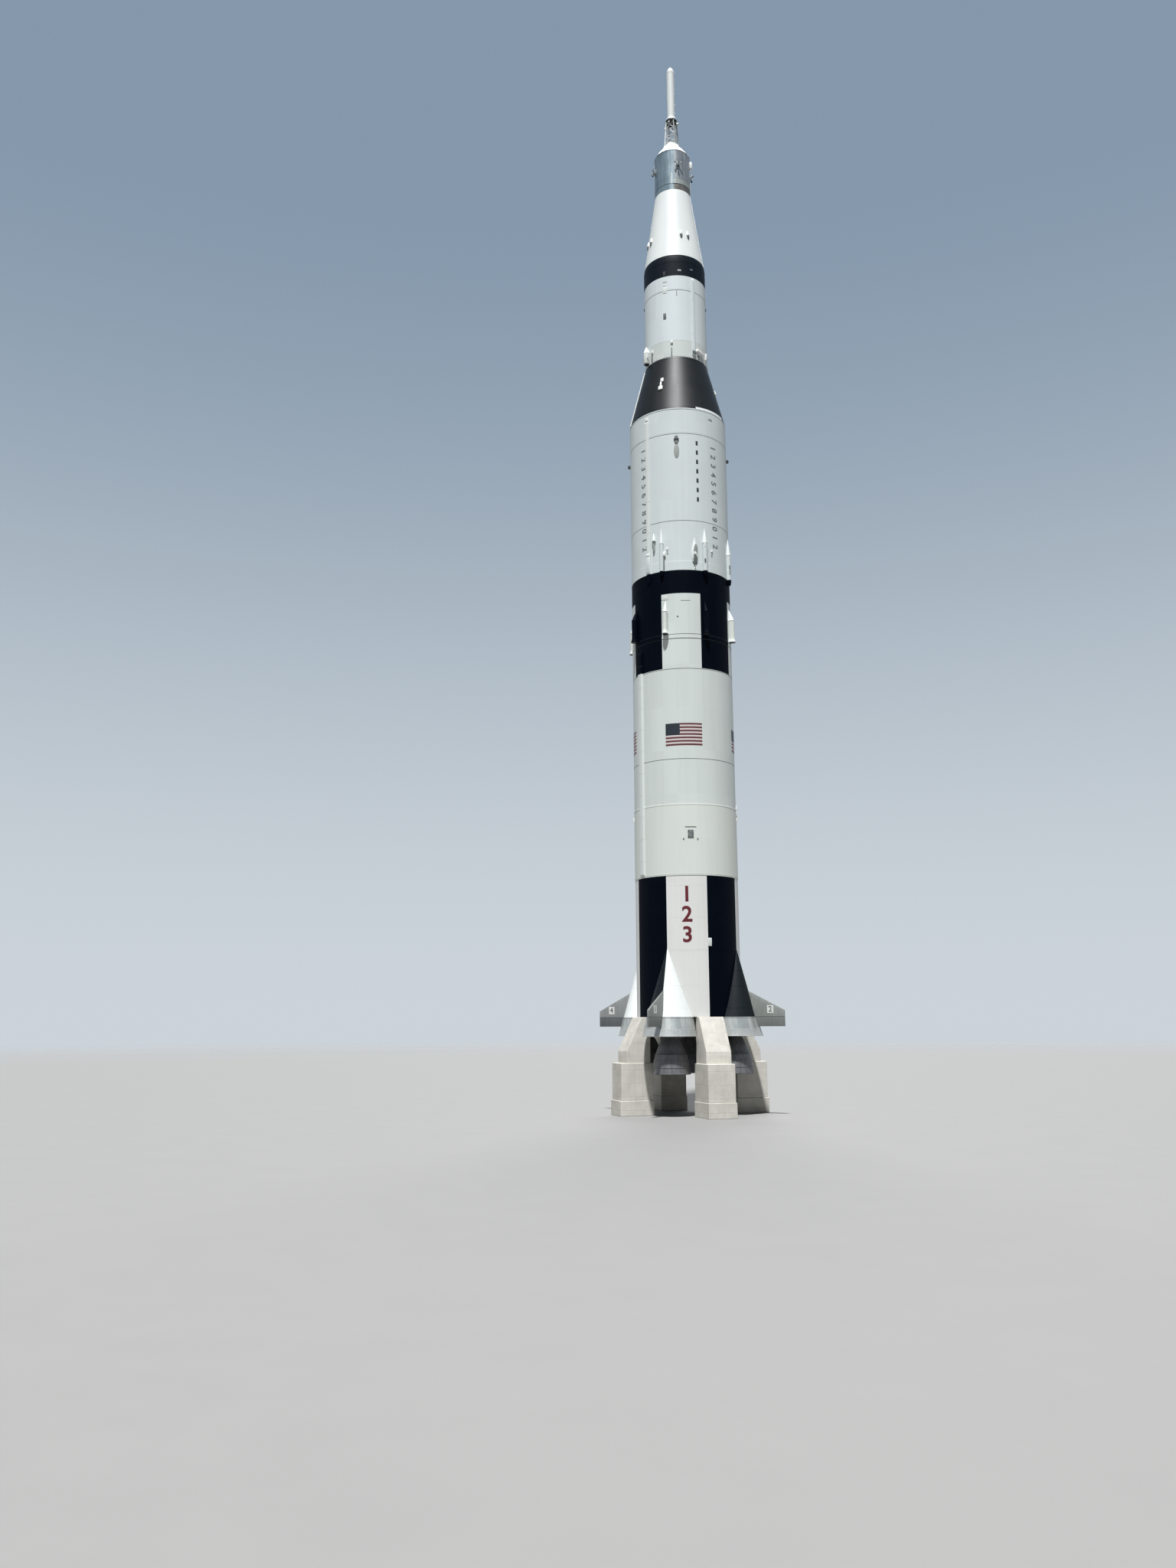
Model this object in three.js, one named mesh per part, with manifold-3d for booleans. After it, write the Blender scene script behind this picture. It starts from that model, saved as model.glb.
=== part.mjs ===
// Three-stage space rocket standing on four concrete legs, as a 1:10 scale model.
// Millimetres, +Z up, origin on the ground under the rocket's axis.
// An azimuth is in degrees from -Y towards +X: fins and fairings at 0, 90, 180 and 270, legs between.

import * as THREE from 'three';
import { mergeVertices } from 'three/addons/utils/BufferGeometryUtils.js';
import ManifoldModule from 'manifold-3d';

const wasm = await ManifoldModule();
wasm.setup();
const { Manifold, Mesh: ManifoldMesh } = wasm;

// Driving dimensions

const inch = 2.54; // one real inch at 1:10
const gap = 0.3; // clearance between pieces that touch
const sides = 64; // facets round a stage

// Heights in real inches above the rocket's own datum
const level = {
  ground: -262,
  plinthTop: -207,
  nozzleExit: -112,
  pedestalTop: -73,
  legKnee: -31,
  skirtBottom: 23,
  finBottom: 58,
  base: 93,
  finTipTop: 117,
  finRootTop: 180,
  thrustTop: 336,
  fairingTop: 345,
  fuelTankTop: 612,
  doorBottom: 751,
  doorTop: 783,
  intertankTop: 885,
  oxidizerTankTop: 1415,
  forwardSkirt1Top: 1535,
  separationRingTop: 1549,
  ullageTip: 1687,
  ullageShoulder: 1641,
  interstage2Top: 1750,
  feedFairingBottom: 1790,
  aftSkirt2Top: 1812,
  tank2Top: 2393,
  forwardSkirt2Top: 2500,
  interstage3Top: 2764,
  podTip: 2852,
  aftSkirt3Top: 2838,
  tank3Top: 3072,
  forwardSkirt3Top: 3195,
  taperEnd: 3215,
  instrumentRingTop: 3231,
  blister: 3338,
  adapterTop: 3579,
  quad: 3700,
  umbilicalBottom: 3716,
  umbilicalTop: 3756,
  serviceModuleTop: 3771,
  coverTop: 3853,
  towerTop: 3962,
  motorSkirtTop: 3988,
  motorTop: 4214,
  tip: 4247,
};

const stageRadius = 503; // first and second stage
const intertankRadius = 506; // ribbed section between the tanks
const upperRadius = 330.2; // third stage
const moduleRadius = 195.6; // service module
const ringRadiusAtAdapter = 324.4; // on the taper, at the top of the instrument ring

const engine = { orbit: 455, exitRadius: 180, wall: 9 };
const fairing = { centre: 455, radius: 222 };
const skirt = { centre: 474, radius: 256, wall: 8, innerEdge: 440 };
const fin = { innerEdge: 560, tip: 962, rootHalf: 20, tipHalf: 9 };
const leg = { inner: 450, top: 536, knee: 688, width: 248 };
const pedestal = { inner: 430, outer: 746, width: 268 };
const plinth = { inner: 424, outer: 758, width: 280 };
const door = { azimuth: 28.3, width: 53, thick: 4, proud: 1, clearance: 0.8, recess: 12 };
const hinge = { radius: 1.6, side: 1, out: 1.5, leaf: 11, half: 7, offset: 26 };
const rail = { width: 112, depth: 16, height: 6, above: 33 };
const ullage = {
  centre: 528, half: 24, reach: 32, footHalf: 30, footReach: 42, lift: 6, flare: 44, tipCentre: 503,
};
const pod = {
  centre: 352, radius: 34, lift: 8, footRadius: 22, foot: 14, nose: 82, noseRadius: 19, noseTip: 34,
};
const scoopWall = 6; // how far the scoop's centre line lies inside the wall
const coneStrip = { azimuth: -58, width: 24, proud: 10, root: 20, cap: 20 };
const blisterForm = { half: 14, proud: 24, below: 62, above: 74, root: 20 };
const quad = {
  width: 52, height: 66, depth: 34, sink: 10, reach: 36, bellRadius: 9, spread: 40, rise: 50, start: 14,
};
const umbilical = { azimuth: 105, centre: 208, radius: 19, end: 14 };
const cover = { topRadius: 52, rimLip: 3, rimRise: 6, crown: 12, crownRadius: 64 };
const tower = { foot: 84, footLevel: 3836, head: 61, rod: 7, brace: 4.5, bar: 4 };
const towerBays = [3853, 3888, 3922]; // heights of the square frames, real inches
const motor = {
  radius: 41, skirtRadius: 68, lip: 6, noseShoulder: 29, noseRise: 40, spike: 10, spikeDrop: 22,
};
const nozzle = { startRadius: 46, startRise: 8, exitRadius: 88, exitDrop: 66, throat: 10, mouth: 18 };

const legAzimuths = [45, 135, 225, 315];
const finAzimuths = [0, 90, 180, 270];
const ullageAzimuths = [5, 50, 95, 140, 185, 230, 275, 320];
const podAzimuths = [-39.5, 140.5];
const quadAzimuths = [40, 130, 220, 310];
const blisterAzimuths = [39, 55, 129, 145, 219, 235, 309, 325];

// Cable tunnels: bottom and top in real inches, the rest in mm
const tunnels = [
  { name: 'tunnel_1_1', azimuth: -32.3, wall: stageRadius, bottom: 600, top: 1508, width: 66, height: 19 },
  { name: 'tunnel_1_2', azimuth: 147.7, wall: stageRadius, bottom: 600, top: 1508, width: 66, height: 19 },
  { name: 'tunnel_2', azimuth: -15.5, wall: stageRadius, bottom: 1764, top: 2470, width: 46, height: 15 },
  { name: 'tunnel_3', azimuth: 57, wall: upperRadius, bottom: 2775, top: 3133, width: 40, height: 14 },
];
const tunnelCap = 34; // length of the slope at each end
const tunnelRoot = 12; // how far a strip starts inside the wall before it is cut to it

// Feed-line fairings at the foot of the second stage's tank: radius in mm, tip and shoulder in real inches
const feedFairings = [
  { azimuth: 1.5, radius: 21, tip: 1992, shoulder: 1927 },
  { azimuth: 51.5, radius: 26, tip: 1991, shoulder: 1928 },
  { azimuth: 95, radius: 26, tip: 1987, shoulder: 1917 },
  { azimuth: 172, radius: 26, tip: 1987, shoulder: 1917 },
  { azimuth: 244, radius: 26, tip: 1987, shoulder: 1917 },
];
const scoop = { azimuth: 38.8, half: 38, reach: 24, top: 1947, shoulder: 1900, belly: 1859, bottom: 1824 };
const footRing = { top: 1850, proud: 2.5 }; // thicker skin at the foot of the second stage's tank

const up = (inches) => (inches - level.ground) * inch;

// Surface colours and gloss
const finishes = {
  white: { color: 0xcfd3d1, roughness: 0.5, metalness: 0 },
  brightWhite: { color: 0xebebe7, roughness: 0.45, metalness: 0 },
  black: { color: 0x0d1116, roughness: 0.42, metalness: 0 },
  aluminium: { color: 0xb4b8b8, roughness: 0.34, metalness: 1 },
  finMetal: { color: 0x8a8d8e, roughness: 0.5, metalness: 1 },
  nozzle: { color: 0x6a6a6c, roughness: 0.55, metalness: 1 },
  module: { color: 0x9aa4ac, roughness: 0.32, metalness: 1 },
  concrete: { color: 0xc4bfb4, roughness: 0.9, metalness: 0 },
  doorGrey: { color: 0x9aa0a2, roughness: 0.5, metalness: 0 },
};

// Helpers

const group = new THREE.Group();
group.name = 'space_rocket';

// Welded copy of a geometry with positions only and no collapsed triangles
function welded(geometry) {
  const bare = new THREE.BufferGeometry();
  bare.setAttribute('position', geometry.getAttribute('position'));
  if (geometry.index) {
    bare.setIndex(geometry.index);
  }
  const merged = mergeVertices(bare, 1e-3);
  const source = merged.index.array;
  const kept = [];
  for (let i = 0; i < source.length; i += 3) {
    const [a, b, c] = [source[i], source[i + 1], source[i + 2]];
    if (a !== b && b !== c && c !== a) {
      kept.push(a, b, c);
    }
  }
  merged.setIndex(kept);
  return merged;
}

function toSolid(geometry) {
  const clean = welded(geometry);
  return new Manifold(new ManifoldMesh({
    numProp: 3,
    vertProperties: new Float32Array(clean.getAttribute('position').array),
    triVerts: new Uint32Array(clean.index.array),
  }));
}

function toGeometry(solid) {
  const mesh = solid.getMesh();
  const geometry = new THREE.BufferGeometry();
  geometry.setAttribute('position', new THREE.BufferAttribute(new Float32Array(mesh.vertProperties), 3));
  geometry.setIndex(new THREE.BufferAttribute(new Uint32Array(mesh.triVerts), 1));
  return geometry;
}

function joined(geometries) {
  return toGeometry(geometries.map(toSolid).reduce((a, b) => a.add(b)));
}

function cut(geometry, ...tools) {
  return toGeometry(tools.map(toSolid).reduce((a, b) => a.subtract(b), toSolid(geometry)));
}

// Solid of revolution about +Z from [radius, z] pairs, first and last on the axis
function turned(points, count = sides) {
  const profile = points.map(([radius, z]) => new THREE.Vector2(radius, z));
  return new THREE.LatheGeometry(profile, count).rotateX(Math.PI / 2);
}

// Plain drum or cone frustum between two heights
function drum(z0, z1, r0, r1 = r0, count = sides) {
  return turned([[0, z0], [r0, z0], [r1, z1], [0, z1]], count);
}

// Turns a geometry built at azimuth 0, with its outward side to -Y, to its own azimuth
function atAzimuth(geometry, degrees) {
  return geometry.clone().rotateZ(THREE.MathUtils.degToRad(degrees));
}

// The same for a piece that lies against a turned wall: what reaches into the wall is cut away
function againstWall(geometry, degrees, wall) {
  return cut(atAzimuth(geometry, degrees), wall);
}

// Plate with its outline in the plane of radius and height, centred on azimuth 0
function radialPlate(outline, width) {
  const shape = new THREE.Shape(outline.map(([radius, z]) => new THREE.Vector2(radius, z)));
  const plate = new THREE.ExtrudeGeometry(shape, { depth: width, bevelEnabled: false });
  return plate.translate(0, 0, -width / 2).rotateX(Math.PI / 2).rotateZ(-Math.PI / 2);
}

// Closed loft through rings of points, each ring counter-clockwise seen from above, bottom first
function loft(rings) {
  const count = rings[0].length;
  const positions = rings.flat(2);
  const index = [];
  for (let k = 0; k + 1 < rings.length; k += 1) {
    for (let i = 0; i < count; i += 1) {
      const j = (i + 1) % count;
      const [a, b, c, d] = [k * count + i, k * count + j, (k + 1) * count + j, (k + 1) * count + i];
      index.push(a, b, c, a, c, d);
    }
  }
  const last = (rings.length - 1) * count;
  for (let i = 1; i + 1 < count; i += 1) {
    index.push(0, i + 1, i, last, last + i, last + i + 1);
  }
  const geometry = new THREE.BufferGeometry();
  geometry.setAttribute('position', new THREE.Float32BufferAttribute(positions, 3));
  geometry.setIndex(index);
  return geometry;
}

// Circle as a loft ring: its centre is on azimuth 0 at the radius given
function circleAt(centre, radius, z, count = 40) {
  return Array.from({ length: count }, (_, i) => {
    const angle = (i / count) * 2 * Math.PI;
    return [radius * Math.cos(angle), -centre + radius * Math.sin(angle), z];
  });
}

// Oval as a loft ring: half its width across, reach along the radius
function ovalAt(centre, half, reach, z, count = 14) {
  return Array.from({ length: count }, (_, i) => {
    const angle = (i / count) * 2 * Math.PI;
    return [half * Math.cos(angle), -centre + reach * Math.sin(angle), z];
  });
}

function box(width, depth, height, x, y, z) {
  return new THREE.BoxGeometry(width, depth, height).translate(x, y, z);
}

// Straight rod between two points, tapered where it is given a second radius
function rod(from, to, radius, count = 5, endRadius = radius) {
  const start = new THREE.Vector3(...from);
  const along = new THREE.Vector3(...to).sub(start);
  const yAxis = new THREE.Vector3(0, 1, 0);
  const turn = new THREE.Quaternion().setFromUnitVectors(yAxis, along.clone().normalize());
  return new THREE.CylinderGeometry(endRadius, radius, along.length(), count)
    .applyQuaternion(turn)
    .translate(...start.addScaledVector(along, 0.5).toArray());
}

function addPiece(name, geometry, finish) {
  const flat = welded(geometry).toNonIndexed();
  flat.computeVertexNormals();
  const mesh = new THREE.Mesh(flat, new THREE.MeshStandardMaterial(finishes[finish]));
  mesh.name = name;
  group.add(mesh);
}

// Concrete legs, each standing on its pedestal

const legTop = up(level.base) - gap;
const legOutline = [
  [leg.inner, up(level.pedestalTop) - 10],
  [leg.knee, up(level.pedestalTop) - 10],
  [leg.knee, up(level.legKnee)],
  [leg.top, legTop],
  [leg.inner, legTop],
];
const blockOutline = ({ inner, outer }, z0, z1) => [[inner, z0], [outer, z0], [outer, z1], [inner, z1]];
const legSolid = joined([
  radialPlate(legOutline, leg.width),
  radialPlate(blockOutline(pedestal, 5, up(level.pedestalTop)), pedestal.width),
  radialPlate(blockOutline(plinth, 0, up(level.plinthTop)), plinth.width),
]);
legAzimuths.forEach((azimuth, i) => {
  addPiece(`leg_${i + 1}`, atAzimuth(legSolid, azimuth), 'concrete');
});

// First stage: turned sections from the base up

const sections1 = [
  { name: 'thrust_structure', bottom: 'base', top: 'thrustTop' },
  { name: 'fuel_tank', bottom: 'thrustTop', top: 'fuelTankTop' },
  { name: 'oxidizer_tank', bottom: 'intertankTop', top: 'oxidizerTankTop' },
  { name: 'forward_skirt_1', bottom: 'oxidizerTankTop', top: 'forwardSkirt1Top' },
];
for (const section of sections1) {
  const z0 = up(level[section.bottom]) + gap;
  addPiece(section.name, drum(z0, up(level[section.top]), stageRadius), 'white');
}

// Section between the tanks, with the doorway and its drip rail

const doorHeight = (level.doorTop - level.doorBottom) * inch;
const doorMiddle = up((level.doorTop + level.doorBottom) / 2);
const doorFace = -(intertankRadius + door.proud);
const doorwayDepth = door.thick + door.proud + door.recess;
const doorway = box(
  door.width + 2 * door.clearance, doorwayDepth + 20, doorHeight + 2 * door.clearance,
  0, -intertankRadius + doorwayDepth / 2 - 10, doorMiddle,
);
const dripRail = box(
  rail.width, rail.depth, rail.height, 0, -intertankRadius + 1, doorMiddle + doorHeight / 2 + rail.above,
);

// Each hinge has one knuckle on the door and one on the wall, on the same axis beside the plate's edge
const hingeX = -door.width / 2 - hinge.side;
const hingeY = doorFace - hinge.out;
const knuckle = (middle, end) => rod([hingeX, hingeY, middle], [hingeX, hingeY, end], hinge.radius, 16);
const hingeLevels = [doorMiddle - hinge.offset, doorMiddle + hinge.offset];
const doorKnuckles = hingeLevels.flatMap((z) => [
  knuckle(z + gap / 2, z + hinge.half),
  box(
    hinge.leaf, hinge.out + 0.1, hinge.half - gap / 2,
    hingeX + hinge.leaf / 2, doorFace - hinge.out / 2 + 0.05, z + (hinge.half + gap / 2) / 2,
  ),
]);
const wallKnuckles = hingeLevels.flatMap((z) => [
  knuckle(z - hinge.half, z - gap / 2),
  box(
    hinge.leaf, 7, hinge.half - gap / 2,
    hingeX - hinge.leaf / 2, hingeY + 3.5, z - (hinge.half + gap / 2) / 2,
  ),
]);
const intertankShell = drum(up(level.fuelTankTop) + gap, up(level.intertankTop), intertankRadius);
addPiece('intertank', joined([
  cut(intertankShell, atAzimuth(doorway, door.azimuth)),
  ...[dripRail, ...wallKnuckles].map((piece) => atAzimuth(piece, door.azimuth)),
]), 'white');
const doorPlate = box(door.width, door.thick, doorHeight, 0, doorFace + door.thick / 2, doorMiddle);
addPiece('access_door', atAzimuth(joined([doorPlate, ...doorKnuckles]), door.azimuth), 'doorGrey');

// Engines: the bell is a hollow shell under a plain thrust chamber

const exitZ = up(level.nozzleExit);
const engineTop = up(level.base) - gap;
const bellOuter = [[engine.exitRadius, 0], [169, 90], [147, 180], [109, 275], [60, 360]];
const bellInner = bellOuter.slice(0, 4).map(([radius, z]) => [radius - engine.wall, z]);
const engineProfile = [
  ...bellInner.slice().reverse(),
  ...bellOuter,
  [60, 395], [92, 415], [92, engineTop - exitZ], [0, engineTop - exitZ],
];
const engineSolid = turned([[0, bellInner.at(-1)[1]], ...engineProfile], 28);
const engineSpots = [[0, 0], ...finAzimuths.map((azimuth) => {
  const angle = THREE.MathUtils.degToRad(azimuth);
  return [engine.orbit * Math.sin(angle), -engine.orbit * Math.cos(angle)];
})];
engineSpots.forEach(([x, y], i) => {
  addPiece(`engine_${i + 1}`, engineSolid.clone().translate(x, y, exitZ), 'nozzle');
});

// Engine fairings, their flared skirts and the fins

const baseZ = up(level.base);
const skirtZ = up(level.skirtBottom);
const fairingRise = 1 - 8 / (up(level.fairingTop) - baseZ);
const fairingSolid = (margin) => loft([
  circleAt(fairing.centre, fairing.radius + margin, baseZ - margin),
  circleAt(
    THREE.MathUtils.lerp(fairing.centre, stageRadius, fairingRise),
    fairing.radius * (1 - fairingRise) + margin,
    THREE.MathUtils.lerp(baseZ, up(level.fairingTop), fairingRise),
  ),
]);
const skirtSolid = (margin, drop = 0) => loft([
  circleAt(skirt.centre, skirt.radius + margin, skirtZ - drop),
  circleAt(fairing.centre, fairing.radius + margin, baseZ + drop),
]);
const stageCore = drum(baseZ - 20, up(level.fairingTop) + 20, stageRadius + gap);
const fairingPiece = cut(fairingSolid(0), stageCore);
const skirtPiece = cut(
  loft([
    circleAt(skirt.centre, skirt.radius, skirtZ),
    circleAt(fairing.centre, fairing.radius, baseZ - gap),
  ]),
  skirtSolid(-skirt.wall, 1),
  box(1200, 800, 600, 0, -skirt.innerEdge + 400, skirtZ + 100),
);
const finRing = (inner, outer, innerHalf, outerHalf, z) => [
  [-innerHalf, -inner, z], [-outerHalf, -outer, z], [outerHalf, -outer, z], [innerHalf, -inner, z],
];
const finBlank = loft([
  finRing(fin.innerEdge, fin.tip, fin.rootHalf, fin.tipHalf, up(level.finBottom)),
  finRing(fin.innerEdge, fin.tip, fin.rootHalf, fin.tipHalf, up(level.finTipTop)),
  finRing(fin.innerEdge, fin.innerEdge + 40, 3, 2, up(level.finRootTop) + 27),
]);
const finPiece = cut(finBlank, fairingSolid(gap), skirtSolid(gap));
finAzimuths.forEach((azimuth, i) => {
  addPiece(`engine_fairing_${i + 1}`, atAzimuth(fairingPiece, azimuth), 'white');
  addPiece(`fairing_skirt_${i + 1}`, atAzimuth(skirtPiece, azimuth), 'aluminium');
  addPiece(`fin_${i + 1}`, atAzimuth(finPiece, azimuth), 'finMetal');
});

// Cable tunnels: rounded strips along the tanks, with a sloped cap at each end

const footTop = up(footRing.top);
const footSolid = (margin) => drum(
  up(level.aftSkirt2Top) + gap - margin, footTop + margin, stageRadius + footRing.proud + margin,
);
const stageWall = joined([
  drum(up(level.base), up(level.forwardSkirt2Top), stageRadius + gap),
  drum(up(level.fuelTankTop), up(level.intertankTop) + gap, intertankRadius + gap),
  footSolid(gap),
]);
const upperWall = drum(up(level.interstage3Top), up(level.forwardSkirt3Top), upperRadius + gap);
for (const { name, azimuth, wall, bottom, top, width, height } of tunnels) {
  const [z0, z1, inside] = [up(bottom), up(top), wall - tunnelRoot];
  const outline = [
    [wall + gap, z0], [wall + height, z0 + tunnelCap], [wall + height, z1 - tunnelCap], [wall + gap, z1],
    [inside, z1], [inside, z0],
  ];
  const skin = wall === upperRadius ? upperWall : stageWall;
  addPiece(name, againstWall(radialPlate(outline, width), azimuth, skin), 'white');
}

// Second stage, with the ring that parts it from the first

addPiece('separation_ring', drum(
  up(level.forwardSkirt1Top) + gap, up(level.separationRingTop), stageRadius + 2,
), 'black');

// Motor fairing: an oval barrel on a flared foot, its nose leaning in to the wall
const ullageZ = up(level.separationRingTop) + ullage.lift;
const ullageFairing = loft([
  ovalAt(ullage.centre, ullage.footHalf, ullage.footReach, ullageZ),
  ovalAt(ullage.centre, ullage.half, ullage.reach, ullageZ + ullage.flare),
  ovalAt(ullage.centre, ullage.half, ullage.reach, up(level.ullageShoulder)),
  ovalAt(ullage.tipCentre, 2, 3, up(level.ullageTip)),
]);
addPiece('interstage_2', joined([
  drum(up(level.separationRingTop) + gap, up(level.interstage2Top), stageRadius),
  ...ullageAzimuths.map((azimuth) => atAzimuth(ullageFairing, azimuth)),
]), 'black');

const sections2 = [
  { name: 'aft_skirt_2', bottom: 'interstage2Top', top: 'aftSkirt2Top', finish: 'black' },
  { name: 'tank_2', bottom: 'aftSkirt2Top', top: 'tank2Top', finish: 'white' },
  { name: 'forward_skirt_2', bottom: 'tank2Top', top: 'forwardSkirt2Top', finish: 'white' },
];
for (const section of sections2) {
  const z0 = up(level[section.bottom]) + gap;
  const shell = drum(z0, up(level[section.top]), stageRadius);
  addPiece(section.name, section.name === 'tank_2' ? joined([shell, footSolid(0)]) : shell, section.finish);
}

const feedBottom = up(level.feedFairingBottom);
feedFairings.forEach(({ azimuth, radius, tip, shoulder }, i) => {
  const profile = [
    [0, feedBottom], [radius * 0.8, feedBottom], [radius, feedBottom + 30], [radius, up(shoulder)],
    [0, up(tip)],
  ];
  const fairingBody = turned(profile, 16).translate(0, -stageRadius - radius * 0.45, 0);
  addPiece(`feed_fairing_${i + 1}`, againstWall(fairingBody, azimuth, stageWall), 'brightWhite');
});

// Scoop beside them: a rounded blister that comes to a point at both ends
const scoopRing = (half, reach, z) => Array.from({ length: 12 }, (_, i) => {
  const angle = (i / 12) * 2 * Math.PI;
  return [half * Math.cos(angle), -stageRadius + scoopWall + (reach + scoopWall) * Math.sin(angle), z];
});
addPiece('drain_scoop', againstWall(loft([
  scoopRing(6, 2, up(scoop.bottom)), scoopRing(scoop.half * 0.92, scoop.reach * 0.8, up(scoop.belly)),
  scoopRing(scoop.half, scoop.reach, up((scoop.belly + scoop.shoulder) / 2)),
  scoopRing(scoop.half * 0.75, scoop.reach * 0.8, up(scoop.shoulder)), scoopRing(5, 2, up(scoop.top)),
]), scoop.azimuth, stageWall), 'brightWhite');

// Third stage

const coneBottom = up(level.forwardSkirt2Top) + gap;
const coneTop = up(level.interstage3Top);
const stripOutline = [
  [stageRadius - coneStrip.root, coneBottom + coneStrip.cap],
  [stageRadius + coneStrip.proud, coneBottom + coneStrip.cap],
  [upperRadius + coneStrip.proud, coneTop - coneStrip.cap],
  [upperRadius - coneStrip.root, coneTop - coneStrip.cap],
];
addPiece('interstage_3', joined([
  drum(coneBottom, coneTop, stageRadius, upperRadius),
  atAzimuth(radialPlate(stripOutline, coneStrip.width), coneStrip.azimuth),
]), 'black');
const sections3 = [
  { name: 'aft_skirt_3', bottom: 'interstage3Top', top: 'aftSkirt3Top' },
  { name: 'tank_3', bottom: 'aftSkirt3Top', top: 'tank3Top' },
  { name: 'forward_skirt_3', bottom: 'tank3Top', top: 'forwardSkirt3Top' },
];
for (const section of sections3) {
  const z0 = up(level[section.bottom]) + gap;
  addPiece(section.name, drum(z0, up(level[section.top]), upperRadius), 'white');
}

const podBottom = up(level.interstage3Top) + pod.lift;
const podTip = up(level.podTip);
const podSolid = turned([
  [0, podBottom], [pod.footRadius, podBottom], [pod.radius, podBottom + pod.foot],
  [pod.radius, podTip - pod.nose], [pod.noseRadius, podTip - pod.noseTip], [0, podTip],
], 16).translate(0, -pod.centre, 0);
podAzimuths.forEach((azimuth, i) => {
  addPiece(`control_pod_${i + 1}`, againstWall(podSolid, azimuth, upperWall), 'white');
});

// Instrument ring, adapter cone with its small blisters, service module and thruster quads

addPiece('instrument_ring', turned([
  [0, up(level.forwardSkirt3Top) + gap], [upperRadius, up(level.forwardSkirt3Top) + gap],
  [upperRadius, up(level.taperEnd)], [ringRadiusAtAdapter, up(level.instrumentRingTop)],
  [0, up(level.instrumentRingTop)],
]), 'black');

const adapterSlope = (ringRadiusAtAdapter - moduleRadius) / (level.adapterTop - level.instrumentRingTop);
const blisterRadius = moduleRadius + adapterSlope * (level.adapterTop - level.blister);
const blisterZ = up(level.blister);
const blister = radialPlate([
  [blisterRadius - blisterForm.root, blisterZ - blisterForm.below],
  [blisterRadius + blisterForm.proud, blisterZ - blisterForm.below],
  [blisterRadius + blisterForm.proud, blisterZ],
  [blisterRadius - blisterForm.root / 2, blisterZ + blisterForm.above],
  [blisterRadius - 2 * blisterForm.root, blisterZ + blisterForm.above],
], 2 * blisterForm.half);
addPiece('adapter', joined([
  drum(up(level.instrumentRingTop) + gap, up(level.adapterTop), ringRadiusAtAdapter, moduleRadius),
  ...blisterAzimuths.map((azimuth) => atAzimuth(blister, azimuth)),
]), 'brightWhite');
const umbilicalFairing = turned([
  [0, up(level.umbilicalBottom)], [umbilical.radius * 0.6, up(level.umbilicalBottom)],
  [umbilical.radius, up(level.umbilicalBottom) + umbilical.end],
  [umbilical.radius, up(level.umbilicalTop) - 2 * umbilical.end], [0, up(level.umbilicalTop)],
], 14).translate(0, -umbilical.centre, 0);
addPiece('service_module', joined([
  drum(up(level.adapterTop) + gap, up(level.serviceModuleTop), moduleRadius),
  atAzimuth(umbilicalFairing, umbilical.azimuth),
]), 'module');

const quadFace = moduleRadius + gap;
const quadZ = up(level.quad);
const quadWall = drum(quadZ - quad.rise - quad.bellRadius, quadZ + quad.rise + quad.bellRadius, quadFace);
const quadSolid = joined([
  box(quad.width, quad.depth, quad.height, 0, -quadFace - quad.depth / 2 + quad.sink, quadZ),
  ...[[1, 0], [-1, 0], [0, 1], [0, -1]].map(([side, rise]) => rod(
    [side * quad.start, -quadFace - quad.reach / 2, quadZ + rise * quad.start],
    [side * quad.spread, -quadFace - quad.reach, quadZ + rise * quad.rise],
    quad.bellRadius * 0.7, 10, quad.bellRadius,
  )),
]);
quadAzimuths.forEach((azimuth, i) => {
  addPiece(`thruster_quad_${i + 1}`, againstWall(quadSolid, azimuth, quadWall), 'module');
});

// Capsule cover, lattice tower and escape motor

const coverFoot = up(level.serviceModuleTop) + gap;
const coverProfile = (margin) => [
  [0, coverFoot], [moduleRadius + margin, coverFoot],
  [moduleRadius - cover.rimLip + margin, coverFoot + cover.rimRise],
  [cover.crownRadius + margin, up(level.coverTop) - cover.crown + margin],
  [cover.topRadius + margin, up(level.coverTop) + margin], [0, up(level.coverTop) + margin],
];
addPiece('capsule_cover', turned(coverProfile(0), 48), 'brightWhite');

// Four legs that stand on the cover's slope, square frames between them, and braces on every side
const towerFoot = up(tower.footLevel);
const towerHead = up(level.towerTop) - gap;
const corners = [[1, 1], [-1, 1], [-1, -1], [1, -1]];
const towerPoint = ([sx, sy], z) => {
  const half = THREE.MathUtils.mapLinear(z, towerFoot, towerHead, tower.foot, tower.head) / Math.SQRT2;
  return [sx * half, sy * half, z];
};
const towerBars = corners.map((corner) => cut(
  rod(towerPoint(corner, towerFoot - 40), towerPoint(corner, towerHead), tower.rod, 8),
  drum(towerHead, towerHead + 60, tower.head + 60),
));
const [lowFrame, middleFrame, highFrame] = towerBays.map(up);
corners.forEach((corner, i) => {
  const next = corners[(i + 1) % 4];
  for (const frame of [lowFrame, middleFrame, highFrame]) {
    towerBars.push(rod(towerPoint(corner, frame), towerPoint(next, frame), tower.bar, 4));
  }
  const [ax, ay, az] = towerPoint(corner, highFrame);
  const [bx, by] = towerPoint(next, highFrame);
  const peak = [(ax + bx) / 2, (ay + by) / 2, az];
  towerBars.push(rod(towerPoint(corner, middleFrame + 8), peak, tower.brace, 4));
  towerBars.push(rod(towerPoint(next, middleFrame + 8), peak, tower.brace, 4));
  towerBars.push(rod(towerPoint(corner, lowFrame + 8), towerPoint(next, middleFrame - 8), tower.brace, 4));
  towerBars.push(rod(towerPoint(next, highFrame + 8), towerPoint(corner, towerHead - 12), tower.brace, 4));
});
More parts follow.
